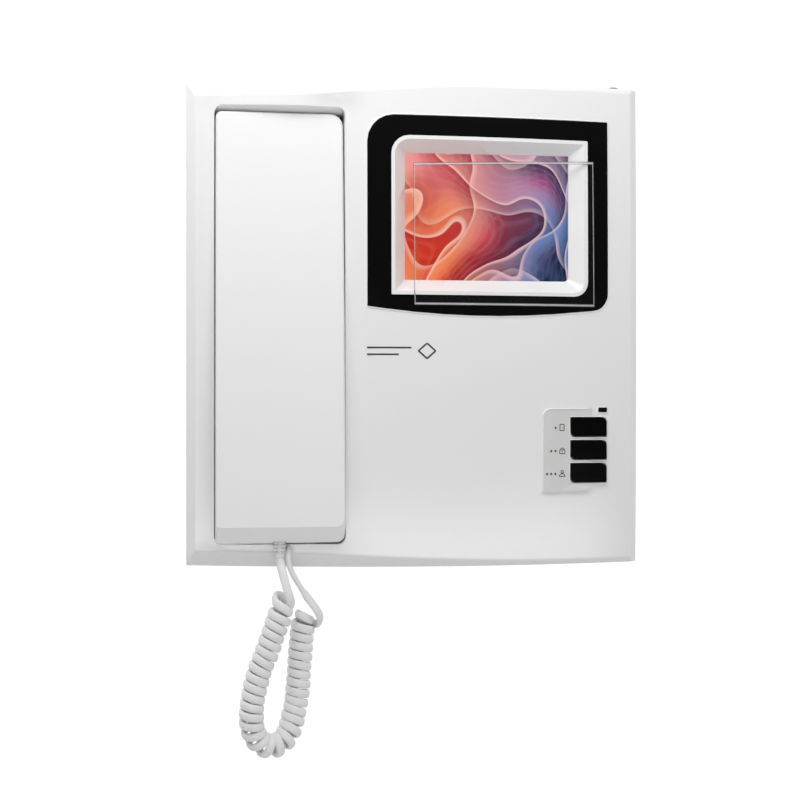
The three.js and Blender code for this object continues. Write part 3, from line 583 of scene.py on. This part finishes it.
def box_distance(x, y, left, right, bottom, top, corner):
    """Signed distance to a rounded rectangle, negative inside."""
    dx = np.abs(x - (left + right) / 2) - (right - left) / 2 + corner
    dy = np.abs(y - (bottom + top) / 2) - (top - bottom) / 2 + corner
    outside = np.hypot(np.maximum(dx, 0), np.maximum(dy, 0))
    return outside + np.minimum(np.maximum(dx, dy), 0) - corner


def cradle_floor(y):
    along = (y - HANDSET_AT[1]) / math.cos(TILT)
    back = np.interp(along, *HANDSET_BACK) - CRADLE_CLEARANCE
    return HANDSET_AT[2] - math.sin(TILT) * along + back


def cover_height(x, y):
    z = face_height(x, y)
    side = np.abs(x) - (HALF_WIDTH - SIDE_BEVEL)
    top = (y - half_height(x) + top_bevel(x)) * BEVEL_SLOPE
    bottom = (-y - half_height(x) + bottom_bevel(x)) * BEVEL_SLOPE
    drop = smooth_max(side, smooth_max(top, bottom, 0.25), 0.3)
    z = z - np.maximum(smooth_max(drop, np.zeros_like(x), 0.3) - 0.15, 0)
    away = box_distance(x, y, **CRADLE)
    # The face rolls softly down to the cradle along its right flank and left strip.
    right_flank = smooth(x, -60, -36) * smooth(y, -90, 0)
    left_strip = 1 - smooth(x, -100, -90)
    z = z - (FLANK_DROP * right_flank + STRIP_DROP * left_strip) * (1 - smooth(away, 0, FLANK_REACH)) ** 1.4
    rim = np.clip(LIP_RADIUS - away, 0, LIP_RADIUS)
    z = z - (LIP_RADIUS - np.sqrt(np.maximum(LIP_RADIUS**2 - rim**2, 0)))
    floor = cradle_floor(y)
    hook = box_distance(x, (y - HANDSET_AT[1]) / math.cos(TILT), -68.3, -62.7, -29.8, -20.2, 0.3)
    floor = floor - 4 * smooth(-hook, 0, 0.35)
    below_top = CRADLE["top"] - y
    slope = z - TOP_WALL_DEPTH * below_top / TOP_WALL
    floor = np.where(below_top < TOP_WALL, np.maximum(floor, slope), floor)
    inside = smooth(-away, 0, 0.25)
    return z * (1 - inside) + np.minimum(floor, z) * inside


def grid_lines(low, high, coarse, features):
    """Grid positions: evenly spaced, and close together at each feature (place, reach, step)."""
    values = list(np.linspace(low, high, int((high - low) / coarse) + 1))
    for place, reach, step in features:
        values = [v for v in values if abs(v - place) > reach or v in (low, high)]
        values += list(np.linspace(place - reach, place + reach, int(2 * reach / step) + 1))
    values = sorted(v for v in values if low <= v <= high)
    kept = [values[0]]
    for v in values[1:]:
        if v - kept[-1] > 0.12:
            kept.append(v)
    kept[-1] = high
    return np.array(kept)


def perimeter(nx, ny):
    bottom = [(i, 0) for i in range(nx - 1)]
    right = [(nx - 1, j) for j in range(ny - 1)]
    top = [(i, ny - 1) for i in range(nx - 1, 0, -1)]
    left = [(0, j) for j in range(ny - 1, 0, -1)]
    return bottom + right + top + left


# Slots through the top and bottom walls: x from, x to, z from, z to, and which wall.
WALL_SLOTS = [(-79, -65, 27, 28.6, 1), (-61, -47, 27, 28.6, 1), (-17, -3, 27, 28.6, 1), (3, 17, 27, 28.6, 1),
              (91.2, 105.2, 36, 40.2, 1)]
WALL_SLOTS += [(x - 1.1, x + 1.1, 24, 36, -1) for x in (-14, -7, 0, 7, 14)]


def outline_of(node):
    """The convex outline of a CAD node seen from the front, in drawing millimetres."""
    mesh = frame["nodes"][node].data
    points = sorted({(round(v.co.x / MM, 3), round(v.co.z / MM, 3)) for v in mesh.vertices})

    def chain(candidates):
        kept = []
        for p in candidates:
            while len(kept) > 1 and turn(kept[-2], kept[-1], p) <= 0:
                kept.pop()
            kept.append(p)
        return kept[:-1]

    return np.array(chain(points) + chain(points[::-1]))


def turn(a, b, c):
    return (b[0] - a[0]) * (c[1] - a[1]) - (b[1] - a[1]) * (c[0] - a[0])


def nearest_on(outline, x, y):
    """The nearest point of a convex outline to each (x, y), and the signed distance to it."""
    p = np.column_stack([x, y])[:, None]
    a = outline[None]
    side = np.roll(outline, -1, axis=0)[None] - a
    t = np.clip(np.sum((p - a) * side, axis=2) / np.sum(side**2, axis=2), 0, 1)
    foot = a + side * t[..., None]
    distance = np.linalg.norm(p - foot, axis=2)
    best = np.argmin(distance, axis=1)
    rows = np.arange(len(x))
    inside = np.all(side[..., 0] * (p - a)[..., 1] - side[..., 1] * (p - a)[..., 0] > 0, axis=1)
    return foot[rows, best], np.where(inside, -1, 1) * distance[rows, best]


def snap_to(outline, x, y, nx, ny):
    """Moves grid points onto the outline wherever it passes, and returns which side each is on."""
    foot, distance = nearest_on(outline, x, y)
    state = np.sign(distance)
    index = np.arange(nx * ny).reshape(nx, ny)
    pairs = np.vstack([
        np.column_stack([index[:-1].ravel(), index[1:].ravel()]),
        np.column_stack([index[:, :-1].ravel(), index[:, 1:].ravel()]),
    ])
    crossing = pairs[state[pairs[:, 0]] * state[pairs[:, 1]] < 0]
    crossing = crossing[np.argsort(np.min(np.abs(distance[crossing]), axis=1))]
    for a, b in crossing:
        if state[a] * state[b] < 0:
            moved = a if abs(distance[a]) < abs(distance[b]) else b
            x[moved], y[moved] = foot[moved]
            state[moved] = 0
    return state


def outside_part(cell, state):
    """The part of a grid cell that lies outside the outline, or None."""
    sides = state[list(cell)]
    if sides.min() >= 0:
        return cell if sides.max() > 0 else None
    if sides.max() <= 0:
        return None
    kept = int(np.argmax(sides))
    return (cell[kept - 1], cell[kept], cell[(kept + 1) % 4])


def lined_hole(vertices, faces, state, depth):
    """Walls that go down from the edge of the hole, so that the shell's thickness shows."""
    edges = {(f[k], f[(k + 1) % len(f)]) for f in faces for k in range(len(f))}
    rim = [(a, b) for a, b in edges if (b, a) not in edges and state[a] == 0 and state[b] == 0]
    below = {}
    for a, b in rim:
        for v in (a, b):
            if v not in below:
                below[v] = len(vertices) + len(below)
    lower = [vertices[v] - [0, 0, depth] for v in below]
    walls = [(b, a, below[a], below[b]) for a, b in rim]
    return np.vstack([vertices, lower]), faces + walls


def make_cover():
    edge = HALF_WIDTH - EDGE_ROUND
    hole = outline_of("bezel_plate")
    centre = (hole.min(axis=0) + hole.max(axis=0)) / 2
    hole = centre + (hole - centre) * (1 + 0.15 / np.abs(hole - centre).max())
    low, high = hole.min(axis=0), hole.max(axis=0)
    xs = grid_lines(-edge, edge, 3.0, [
        (-106.5, 2.6, 0.4), (106.5, 2.6, 0.4),
        (CRADLE["left"] - 0.4, 2.2, 0.22), (CRADLE["right"] + 0.4, 2.2, 0.22),
        (CRADLE["left"] + 4, 2.2, 0.5), (CRADLE["right"] - 4, 2.2, 0.5),
        (-68.3, 0.5, 0.2), (-62.7, 0.5, 0.2),
        (low[0], 0.4, 0.4), (high[0], 0.4, 0.4),
        *[(x, 0.2, 0.2) for slot in WALL_SLOTS for x in slot[:2]],
    ])
    rows = grid_lines(-HALF_HEIGHT, HALF_HEIGHT, 3.2, [
        (-111, 4.4, 0.5), (111, 4.4, 0.5),
        (CRADLE["top"] + 0.4, 2.2, 0.22), (CRADLE["bottom"] - 0.4, 2.2, 0.22),
        (CRADLE["top"] - 4, 2.2, 0.5), (CRADLE["bottom"] + 4, 2.2, 0.5),
        (-29, 0.6, 0.2), (-19.4, 0.6, 0.2),
        (-57, 1.6, 0.8), (-46, 1.6, 0.8), (high[1], 0.8, 0.4), (7.9, 0.8, 0.4),
    ]) / HALF_HEIGHT
    nx, ny = len(xs), len(rows)
    x = np.repeat(xs, ny)
    y = np.tile(rows, nx) * (half_height(x) - EDGE_ROUND)
    state = snap_to(hole, x, y, nx, ny)
    top = np.column_stack([x, y, cover_height(x, y)])
    faces = []
    for i in range(nx - 1):
        for j in range(ny - 1):
            a = i * ny + j
            cell = outside_part((a, a + ny, a + ny + 1, a + 1), state)
            if cell:
                faces.append(cell)
    top, faces = lined_hole(top, faces, state, 1.8)
    ring = perimeter(nx, ny)
    top_ring = np.array([i * ny + j for i, j in ring])
    at = top[top_ring]
    out = np.array([((i == nx - 1) - (i == 0), (j == ny - 1) - (j == 0)) for i, j in ring], float)
    # Down the side walls, over a small rounded shoulder, to the parting line and its rolled-in lip.
    levels = [40.2, 36, 28.6, 27, 24, PARTING + 0.4]
    heights = [at[:, 2] - EDGE_ROUND * 0.3, at[:, 2] - EDGE_ROUND]
    for level in levels:
        heights.append(np.minimum(level, heights[-1] - 0.01))
    reaches = [0.7] + [1.0] * (len(heights) - 1) + [0.2, -5, -5]
    heights += [np.full(len(ring), PARTING), np.full(len(ring), PARTING), np.full(len(ring), PARTING + 4)]
    layers = [top_ring]
    blocks = [top]
    count = len(top)
    for reach, height in zip(reaches, heights):
        blocks.append(np.column_stack([at[:, :2] + out * EDGE_ROUND * reach, height]))
        layers.append(np.arange(count, count + len(ring)))
        count += len(ring)
    vertices = np.vstack(blocks)
    for upper, lower in zip(layers, layers[1:]):
        for k in range(len(ring)):
            m = (k + 1) % len(ring)
            cell = (upper[k], lower[k], lower[m], upper[m])
            if not in_wall_slot(*vertices[list(cell)].mean(axis=0)):
                faces.append(cell)
    vertices, faces = lined_slots(vertices, faces)
    cover = mesh_object("front_cover_fine", world(vertices), faces)
    sharpen_by_angle(cover, 50)
    cover.data.materials.append(CASE_WHITE)
    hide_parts("front_cover")
    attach(cover, "monitor")
    return cover


def lined_slots(vertices, faces):
    for x0, x1, z0, z1, wall in WALL_SLOTS:
        outer = wall * half_height((x0 + x1) / 2)
        inner = outer - wall * 2.4
        corners = [(x0, z0), (x1, z0), (x1, z1), (x0, z1)]
        first = len(vertices)
        tube = [(x, y, z) for y in (outer, inner) for x, z in corners]
        vertices = np.vstack([vertices, tube])
        for k in range(4):
            m = (k + 1) % 4
            faces.append((first + k, first + m, first + 4 + m, first + 4 + k))
    return vertices, faces


def in_wall_slot(x, y, z):
    for x0, x1, z0, z1, wall in WALL_SLOTS:
        if x0 < x < x1 and z0 < z < z1 and y * wall > 110:
            return True
    return False


make_cover()

# ---------------------------------------------------------------- other case pieces

refined("rear_cover", "monitor", 0.5, REAR_WHITE)
refined("wall_bracket", "monitor", 0.3, ZINC)
refined("bezel_plate", "monitor", 0.28, GLOSS_BLACK)
refined("screen_frame", "monitor", 0.35, FRAME_WHITE, segments=3)
refined("label_plate", "monitor", 0.34, LABEL_WHITE)
refined("indicator_lens", "monitor", 0.25, GLOSS_BLACK)
refined("cord_grommet", "monitor", 0.3, CORD_WHITE)
for number in (1, 2, 3):
    refined(f"button_{number}", f"call_button_{number}", 0.35, BUTTON_BLACK, segments=3)
for number in range(1, 5):
    refined(f"cover_screw_{number}", "monitor", 0.2, ZINC)
refined("brightness_wheel", "brightness", 0.15, DARK_PLASTIC)
refined("hook_plunger", "hook", 0.4, LABEL_WHITE)
refined("handset_front", "handset", 0.9, HANDSET_WHITE, segments=4)
refined("handset_back", "handset", 0.5, HANDSET_WHITE)
refined("handset_strain_relief", "handset", 0.3, CORD_WHITE)
for number in (1, 2):
    refined(f"handset_screw_{number}", "handset", 0.2, ZINC)

# ---------------------------------------------------------------- display picture and film


def screen_material():
    """A plain abstract of soft coloured folds, which glows as a lit display does."""
    low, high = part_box("lcd_panel")
    n = Nodes("display_picture")
    split = n.tree.nodes.new("ShaderNodeSeparateXYZ")
    n.link(n.place, split.inputs[0])
    across = n.remap(split.outputs["X"], low.x, high.x, 0, 1)
    up = n.remap(split.outputs["Z"], low.z, high.z, 0, 1)

    def drift(scale, shift):
        node = n.tree.nodes.new("ShaderNodeTexNoise")
        node.inputs["Scale"].default_value = 1.0
        node.inputs["Detail"].default_value = 0.6
        n.link(n.mapping((scale, scale, scale), shift), node.inputs["Vector"])
        return n.math("MULTIPLY", n.math("SUBTRACT", node.outputs["Fac"], 0.5), 1.5)

    u = n.math("ADD", across, drift(22, (1.3, 2.0, 3.4)))
    v = n.math("ADD", up, drift(22, (7.1, 1.0, 5.2)))
    warm = n.mix(n.remap(up, 0.25, 0.9, 0, 1), (0.95, 0.05, 0.004), (0.9, 0.3, 0.3))
    cool = n.mix(n.remap(up, 0.2, 0.8, 0, 1), (0.003, 0.03, 0.11), (0.1, 0.08, 0.26))
    middle = n.mix(n.remap(up, 0.1, 0.8, 0, 1), (0.08, 0.008, 0.06), (0.5, 0.09, 0.24))
    picture = n.mix(n.remap(u, 0.1, 0.5, 0, 1), warm, middle)
    picture = n.mix(n.remap(u, 0.5, 0.85, 0, 1), picture, cool)
    lit = n.mix(n.remap(across, 0.3, 0.8, 0, 1), (1.0, 0.34, 0.14), (0.16, 0.3, 0.62))
    lit = n.mix(n.remap(up, 0.55, 1.0, 0, 0.7), lit, (0.95, 0.5, 0.5))
    deep = n.mix(n.remap(across, 0.25, 0.7, 0, 1), (0.5, 0.008, 0.004), (0.003, 0.008, 0.04))
    # Each family of folds: direction in degrees, folds across the picture, phase, strength.
    for degrees, count, phase, amount in ((58, 1.7, 0.1, 0.7), (-38, 2.1, 0.45, 0.66), (14, 2.6, 0.7, 0.5)):
        toward = math.radians(degrees)
        along_u = n.math("MULTIPLY", u, count * math.cos(toward))
        along_v = n.math("MULTIPLY", v, count * math.sin(toward))
        fold = n.math("FRACT", n.math("ADD", n.math("ADD", along_u, along_v), phase))
        picture = n.mix(n.remap(fold, 0.02, 0.5, amount, 0), picture, lit)
        picture = n.mix(n.remap(fold, 0.55, 1.0, 0, amount), picture, deep)
        crest = n.math("MULTIPLY", n.remap(fold, 0.0, 0.012, 0, 1), n.remap(fold, 0.02, 0.075, 0.75, 0))
        picture = n.mix(crest, picture, (0.98, 0.62, 0.55))
        pleat = n.math("MULTIPLY", n.math("SINE", n.math("MULTIPLY", fold, 44)), 0.09)
        picture = n.mix(n.math("MAXIMUM", pleat, 0), picture, lit)
    n.link(picture, n.shader.inputs["Emission Color"])
    n.set(Base_Color=(0.01, 0.01, 0.012, 1), Emission_Strength=0.9, Roughness=0.12, Specular_IOR_Level=0.08)
    n.link(n.bump(n.noise(900, 2), 0.02, 0.00002), n.shader.inputs["Normal"])
    return n.material


def film_material(name, colour, haze_and_band_opacity, smudge_and_band_opacity):
    """Clear film with faint haze and smudges; the same material also makes the painted shade and painted
    highlight lines along its cut edges.
    """
    n = Nodes(name)
    n.link(n.remap(n.noise(45, 5), 0.45, 0.8, haze_and_band_opacity, smudge_and_band_opacity), n.shader.inputs["Alpha"])
    n.shader.inputs["Base Color"].default_value = (*colour, 1)
    n.link(n.remap(n.noise(60, 4), 0.3, 0.7, 0.05, 0.12), n.shader.inputs["Roughness"])
    n.set(Specular_IOR_Level=0.3)
    return n.material


FILM_LIFT = 1.45
FILM_THICKNESS = 0.4
SIDE_BANDS = (0.28, 0.5)  # painted shade line at the cut edge, then a painted highlight line
END_BANDS = (0.3, 0.95, 1.25)  # painted shade, painted highlight and painted shade lines along the top and bottom


def make_film():
    """The clear film over the screen: a curved pane with thin bands of painted shade and painted highlight
    along its cut edges.
    """
    hull = outline_of("screen_film")
    corner = [hull[np.argmin(hull @ np.array(toward))] for toward in ((1, 1), (-1, 1), (-1, -1), (1, -1))]
    width = np.linalg.norm(corner[1] - corner[0])
    height = np.linalg.norm(corner[3] - corner[0])
    far_sides = width - np.array(SIDE_BANDS[::-1])
    far_ends = height - np.array(END_BANDS[::-1])
    us = np.concatenate([[0], SIDE_BANDS, np.linspace(1, width - 1, 22), far_sides, [width]])
    vs = np.concatenate([[0], END_BANDS, np.linspace(2, height - 2, 14), far_ends, [height]])
    nu, nv = len(us), len(vs)
    s, t = np.repeat(us, nv) / width, np.tile(vs, nu) / height
    s, t = s[:, None], t[:, None]
    flat = (corner[0] * (1 - s) + corner[1] * s) * (1 - t) + (corner[3] * (1 - s) + corner[2] * s) * t
    lower = face_height(flat[:, 0], flat[:, 1]) + FILM_LIFT
    vertices = np.vstack([np.column_stack([flat, lower + FILM_THICKNESS]), np.column_stack([flat, lower])])
    below = nu * nv
    faces, bands = [], []
    for i in range(nu - 1):
        for j in range(nv - 1):
            a = i * nv + j
            cell = (a, a + nv, a + nv + 1, a + 1)
            side = min(us[i] + us[i + 1], 2 * width - us[i] - us[i + 1]) / 2
            end = min(vs[j] + vs[j + 1], 2 * height - vs[j] - vs[j + 1]) / 2
            faces += [cell, tuple(v + below for v in cell[::-1])]
            bands += [film_band(side, end), 0]
    ring = [i * nv + j for i, j in perimeter(nu, nv)]
    # The walls of the cut edge get the painted shade material.
    for k, a in enumerate(ring):
        b = ring[(k + 1) % len(ring)]
        faces.append((a, a + below, b + below, b))
        bands.append(1)
    film = mesh_object("screen_film_fine", world(vertices), faces)
    sharpen_by_angle(film, 40)
    for material in FILM_MATERIALS:
        film.data.materials.append(material)
    film.data.polygons.foreach_set("material_index", bands)
    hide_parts("screen_film")
    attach(film, "monitor")


def film_band(side, end):
    """Which film material shows at a distance from the side and end edges: clear, painted shade or painted
    highlight.
    """
    if side < SIDE_BANDS[0] or end < END_BANDS[0]:
        return 1
    if side < SIDE_BANDS[1] or end < END_BANDS[1]:
        return 2
    return 1 if end < END_BANDS[2] else 0


# Clear film, then the painted shade and painted highlight lines for its cut edges.
FILM_MATERIALS = (
    film_material("clear_film", (0.3, 0.31, 0.31), 0.004, 0.014),
    film_material("film_edge_painted_shade", (0.16, 0.165, 0.165), 0.75, 0.9),
    film_material("film_edge_painted_highlight", (0.72, 0.73, 0.73), 0.6, 0.8),
)

give(screen_material(), "lcd_panel")
make_film()

# ---------------------------------------------------------------- lips and printed marks on the face


def lip(name, node, grow, width, rise, material, gap=None):
    """A thin raised lip around a CAD node's outline: `grow` outside it, and `rise` above the case.

    Where the function `gap` holds for a point of the outline, the lip is left out."""
    hull = outline_of(node)
    closed = np.column_stack([np.vstack([hull, hull[:1]]), np.zeros(len(hull) + 1)])
    line = resample(closed, 0.6)[:-1, :2]
    ahead = np.roll(line, -1, axis=0) - np.roll(line, 1, axis=0)
    outward = unit(np.column_stack([ahead[:, 1], -ahead[:, 0]]))
    section = [(0, -0.8), (0, rise * 0.75), (0.25, rise), (0.7, rise * 0.92), (1, rise * 0.4), (1, -0.4)]
    rings = []
    for reach, height in section:
        x, y = (line + outward * (grow + reach * width)).T
        rings.append(np.column_stack([x, y, cover_height(x, y) + height]))
    count = len(line)
    faces = []
    for level in range(len(section) - 1):
        for k in range(count):
            m = (k + 1) % count
            if gap is None or not gap(*line[k]):
                low, high = level * count, (level + 1) * count
                faces.append((low + k, low + m, high + m, high + k))
    ring = mesh_object(name, world(np.vstack(rings)), faces)
    sharpen_by_angle(ring, 50)
    ring.data.materials.append(material)
    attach(ring, "monitor")


lip("bezel_lip", "bezel_plate", 0.12, 0.5, 0.45, LIP_HIGHLIGHT_WHITE)
lip("indicator_lip", "indicator_lens", 0.1, 0.45, 0.55, LIP_HIGHLIGHT_WHITE)


def label_gap(x, y):
    """The label's lip runs along its left side and top only, and stops short of the first button."""
    return x > 83 or (y < -46 and x > 60.5)


lip("label_lip", "label_plate", -0.45, 0.5, 1.4, LIP_HIGHLIGHT_WHITE, gap=label_gap)
for number in (1, 2, 3):
    lip(f"button_{number}_lip", f"button_{number}", -0.42, 0.5, 1.3, LIP_HIGHLIGHT_WHITE)


def arc(x, y, radius, start, stop, count=14):
    angles = np.radians(np.linspace(start, stop, count))
    return [(x + radius * math.cos(a), y + radius * math.sin(a)) for a in angles]


def printed(name, lines, stroke, lift):
    """Printed strokes along lines on the face, `lift` above it."""
    vertices, faces = [], []
    for line in lines:
        flat = np.column_stack([np.array(line, float), np.zeros(len(line))])
        points = resample(flat, 0.35)[:, :2]
        ahead = unit(np.gradient(points, axis=0))
        side = np.column_stack([-ahead[:, 1], ahead[:, 0]]) * stroke / 2
        first = len(vertices)
        for edge in (points + side, points - side):
            height = face_height(edge[:, 0], edge[:, 1]) + lift
            vertices.extend(np.column_stack([edge, height]))
        count = len(points)
        for k in range(count - 1):
            faces.append((first + k, first + count + k, first + count + k + 1, first + k + 1))
    mark = mesh_object(name, world(vertices), faces)
    mark.data.materials.append(INK)
    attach(mark, "monitor")


LABEL_TOP = 1.13  # height of the label plate's face above the case
ICON_X = 69.6
ICON_Y = (-49.6, -60.7, -71.7)


def door_icon(x, y):
    frame_lines = [
        (x - 1.2, y - 1.5), (x - 1.2, y + 1.5), (x + 0.9, y + 1.5), (x + 0.9, y - 1.5), (x - 1.2, y - 1.5),
    ]
    return [frame_lines, [(x + 0.15, y), (x + 0.5, y)]]


def padlock_icon(x, y):
    body = [
        (x - 1.3, y - 1.5), (x + 1.3, y - 1.5), (x + 1.3, y + 0.3), (x - 1.3, y + 0.3), (x - 1.3, y - 1.5),
    ]
    return [body, arc(x, y + 0.3, 0.9, 0, 180), [(x, y - 0.9), (x, y - 0.4)]]


def person_icon(x, y):
    head = arc(x, y + 0.8, 0.65, 0, 360)
    shoulders = arc(x, y - 1.5, 1.4, 0, 180)
    return [head, shoulders, [(x - 1.4, y - 1.5), (x + 1.4, y - 1.5)]]


def dots(x, y, count):
    return [arc(x - 2.1 * k, y - 0.2, 0.32, 0, 360, 9) for k in range(count)]


icons = [door_icon, padlock_icon, person_icon]
for number, (icon, height) in enumerate(zip(icons, ICON_Y), start=1):
    printed(f"label_icon_{number}", icon(ICON_X, height), 0.38, LABEL_TOP)
    printed(f"label_dots_{number}", dots(ICON_X - 3.4, height, number), 0.6, LABEL_TOP)

# A plain emblem: a lozenge and two bars.
emblem = [[(3.5, -9.6), (7.6, -13.2), (3.5, -16.8), (-0.6, -13.2), (3.5, -9.6)]]
emblem += [[(-25, -11.7), (-4, -11.7)], [(-25, -14.9), (-10, -14.9)]]
printed("face_emblem", emblem, 0.8, 0.04)

# ---------------------------------------------------------------- light, floor and air


def area_light(name, at, toward, size, power, colour=(1, 1, 1)):
    data = bpy.data.lights.new(name, "AREA")
    data.shape = "RECTANGLE"
    data.size, data.size_y = size
    data.energy = power
    data.color = colour
    light = bpy.data.objects.new(name, data)
    light.location = at
    direction = Vector(toward) - Vector(at)
    light.rotation_euler = direction.to_track_quat("-Z", "Y").to_euler()
    bpy.context.scene.collection.objects.link(light)


def make_floor():
    n = Nodes("studio_floor")
    n.link(n.mix(n.noise(3, 3), (0.76, 0.76, 0.76), (0.8, 0.8, 0.8)), n.shader.inputs["Base Color"])
    n.set(Roughness=0.9)
    size = 2.2
    height = -0.95
    corners = [(-size, -size, height), (size, -size, height), (size, size, height), (-size, size, height)]
    floor = mesh_object("studio_floor", corners, [(0, 1, 2, 3)], smooth=False)
    floor.data.materials.append(n.material)


def make_air():
    """Soft studio air: dim in front of the object, brighter overhead and white behind it."""
    air = bpy.data.worlds.new("studio_air")
    air.use_nodes = True
    tree = air.node_tree
    place = tree.nodes.new("ShaderNodeTexCoord")
    split = tree.nodes.new("ShaderNodeSeparateXYZ")
    tree.links.new(place.outputs["Generated"], split.inputs[0])

    def ramp(value, start, stop, low, high):
        node = tree.nodes.new("ShaderNodeMapRange")
        node.inputs["From Min"].default_value = start
        node.inputs["From Max"].default_value = stop
        for name, level in (("To Min", low), ("To Max", high)):
            if isinstance(level, float):
                node.inputs[name].default_value = level
            else:
                tree.links.new(level, node.inputs[name])
        tree.links.new(value, node.inputs["Value"])
        return node.outputs["Result"]

    ahead = ramp(split.outputs["Z"], 0.1, 0.6, AIR_AHEAD, AIR_OVERHEAD)
    strength = ramp(split.outputs["Y"], -0.25, 0.15, ahead, AIR_BEHIND)
    tree.nodes["Background"].inputs["Color"].default_value = (1, 1, 1, 1)
    tree.links.new(strength, tree.nodes["Background"].inputs["Strength"])
    bpy.context.scene.world = air


AIR_AHEAD = 0.02
AIR_OVERHEAD = 0.05
AIR_BEHIND = 1.05

make_floor()
make_air()
area_light("key_above", (-0.1, -0.3, 0.38), (0, 0, 0), (0.7, 0.25), 2.5)
area_light("fill_below", (-0.05, -0.22, -0.34), (0, 0, -0.08), (0.6, 0.15), 0.1)
area_light("low_panel", (0, -0.74, -0.22), (0, 0, -0.1), (1.0, 0.07), 1.45)
area_light("fill_left", (-0.9, -0.5, 0.1), (0, 0, 0), (0.5, 0.9), 0.4)
area_light("fill_right", (0.9, -0.5, 0.1), (0, 0, 0), (0.5, 0.9), 1.3)
bpy.context.scene.view_settings.view_transform = "Standard"
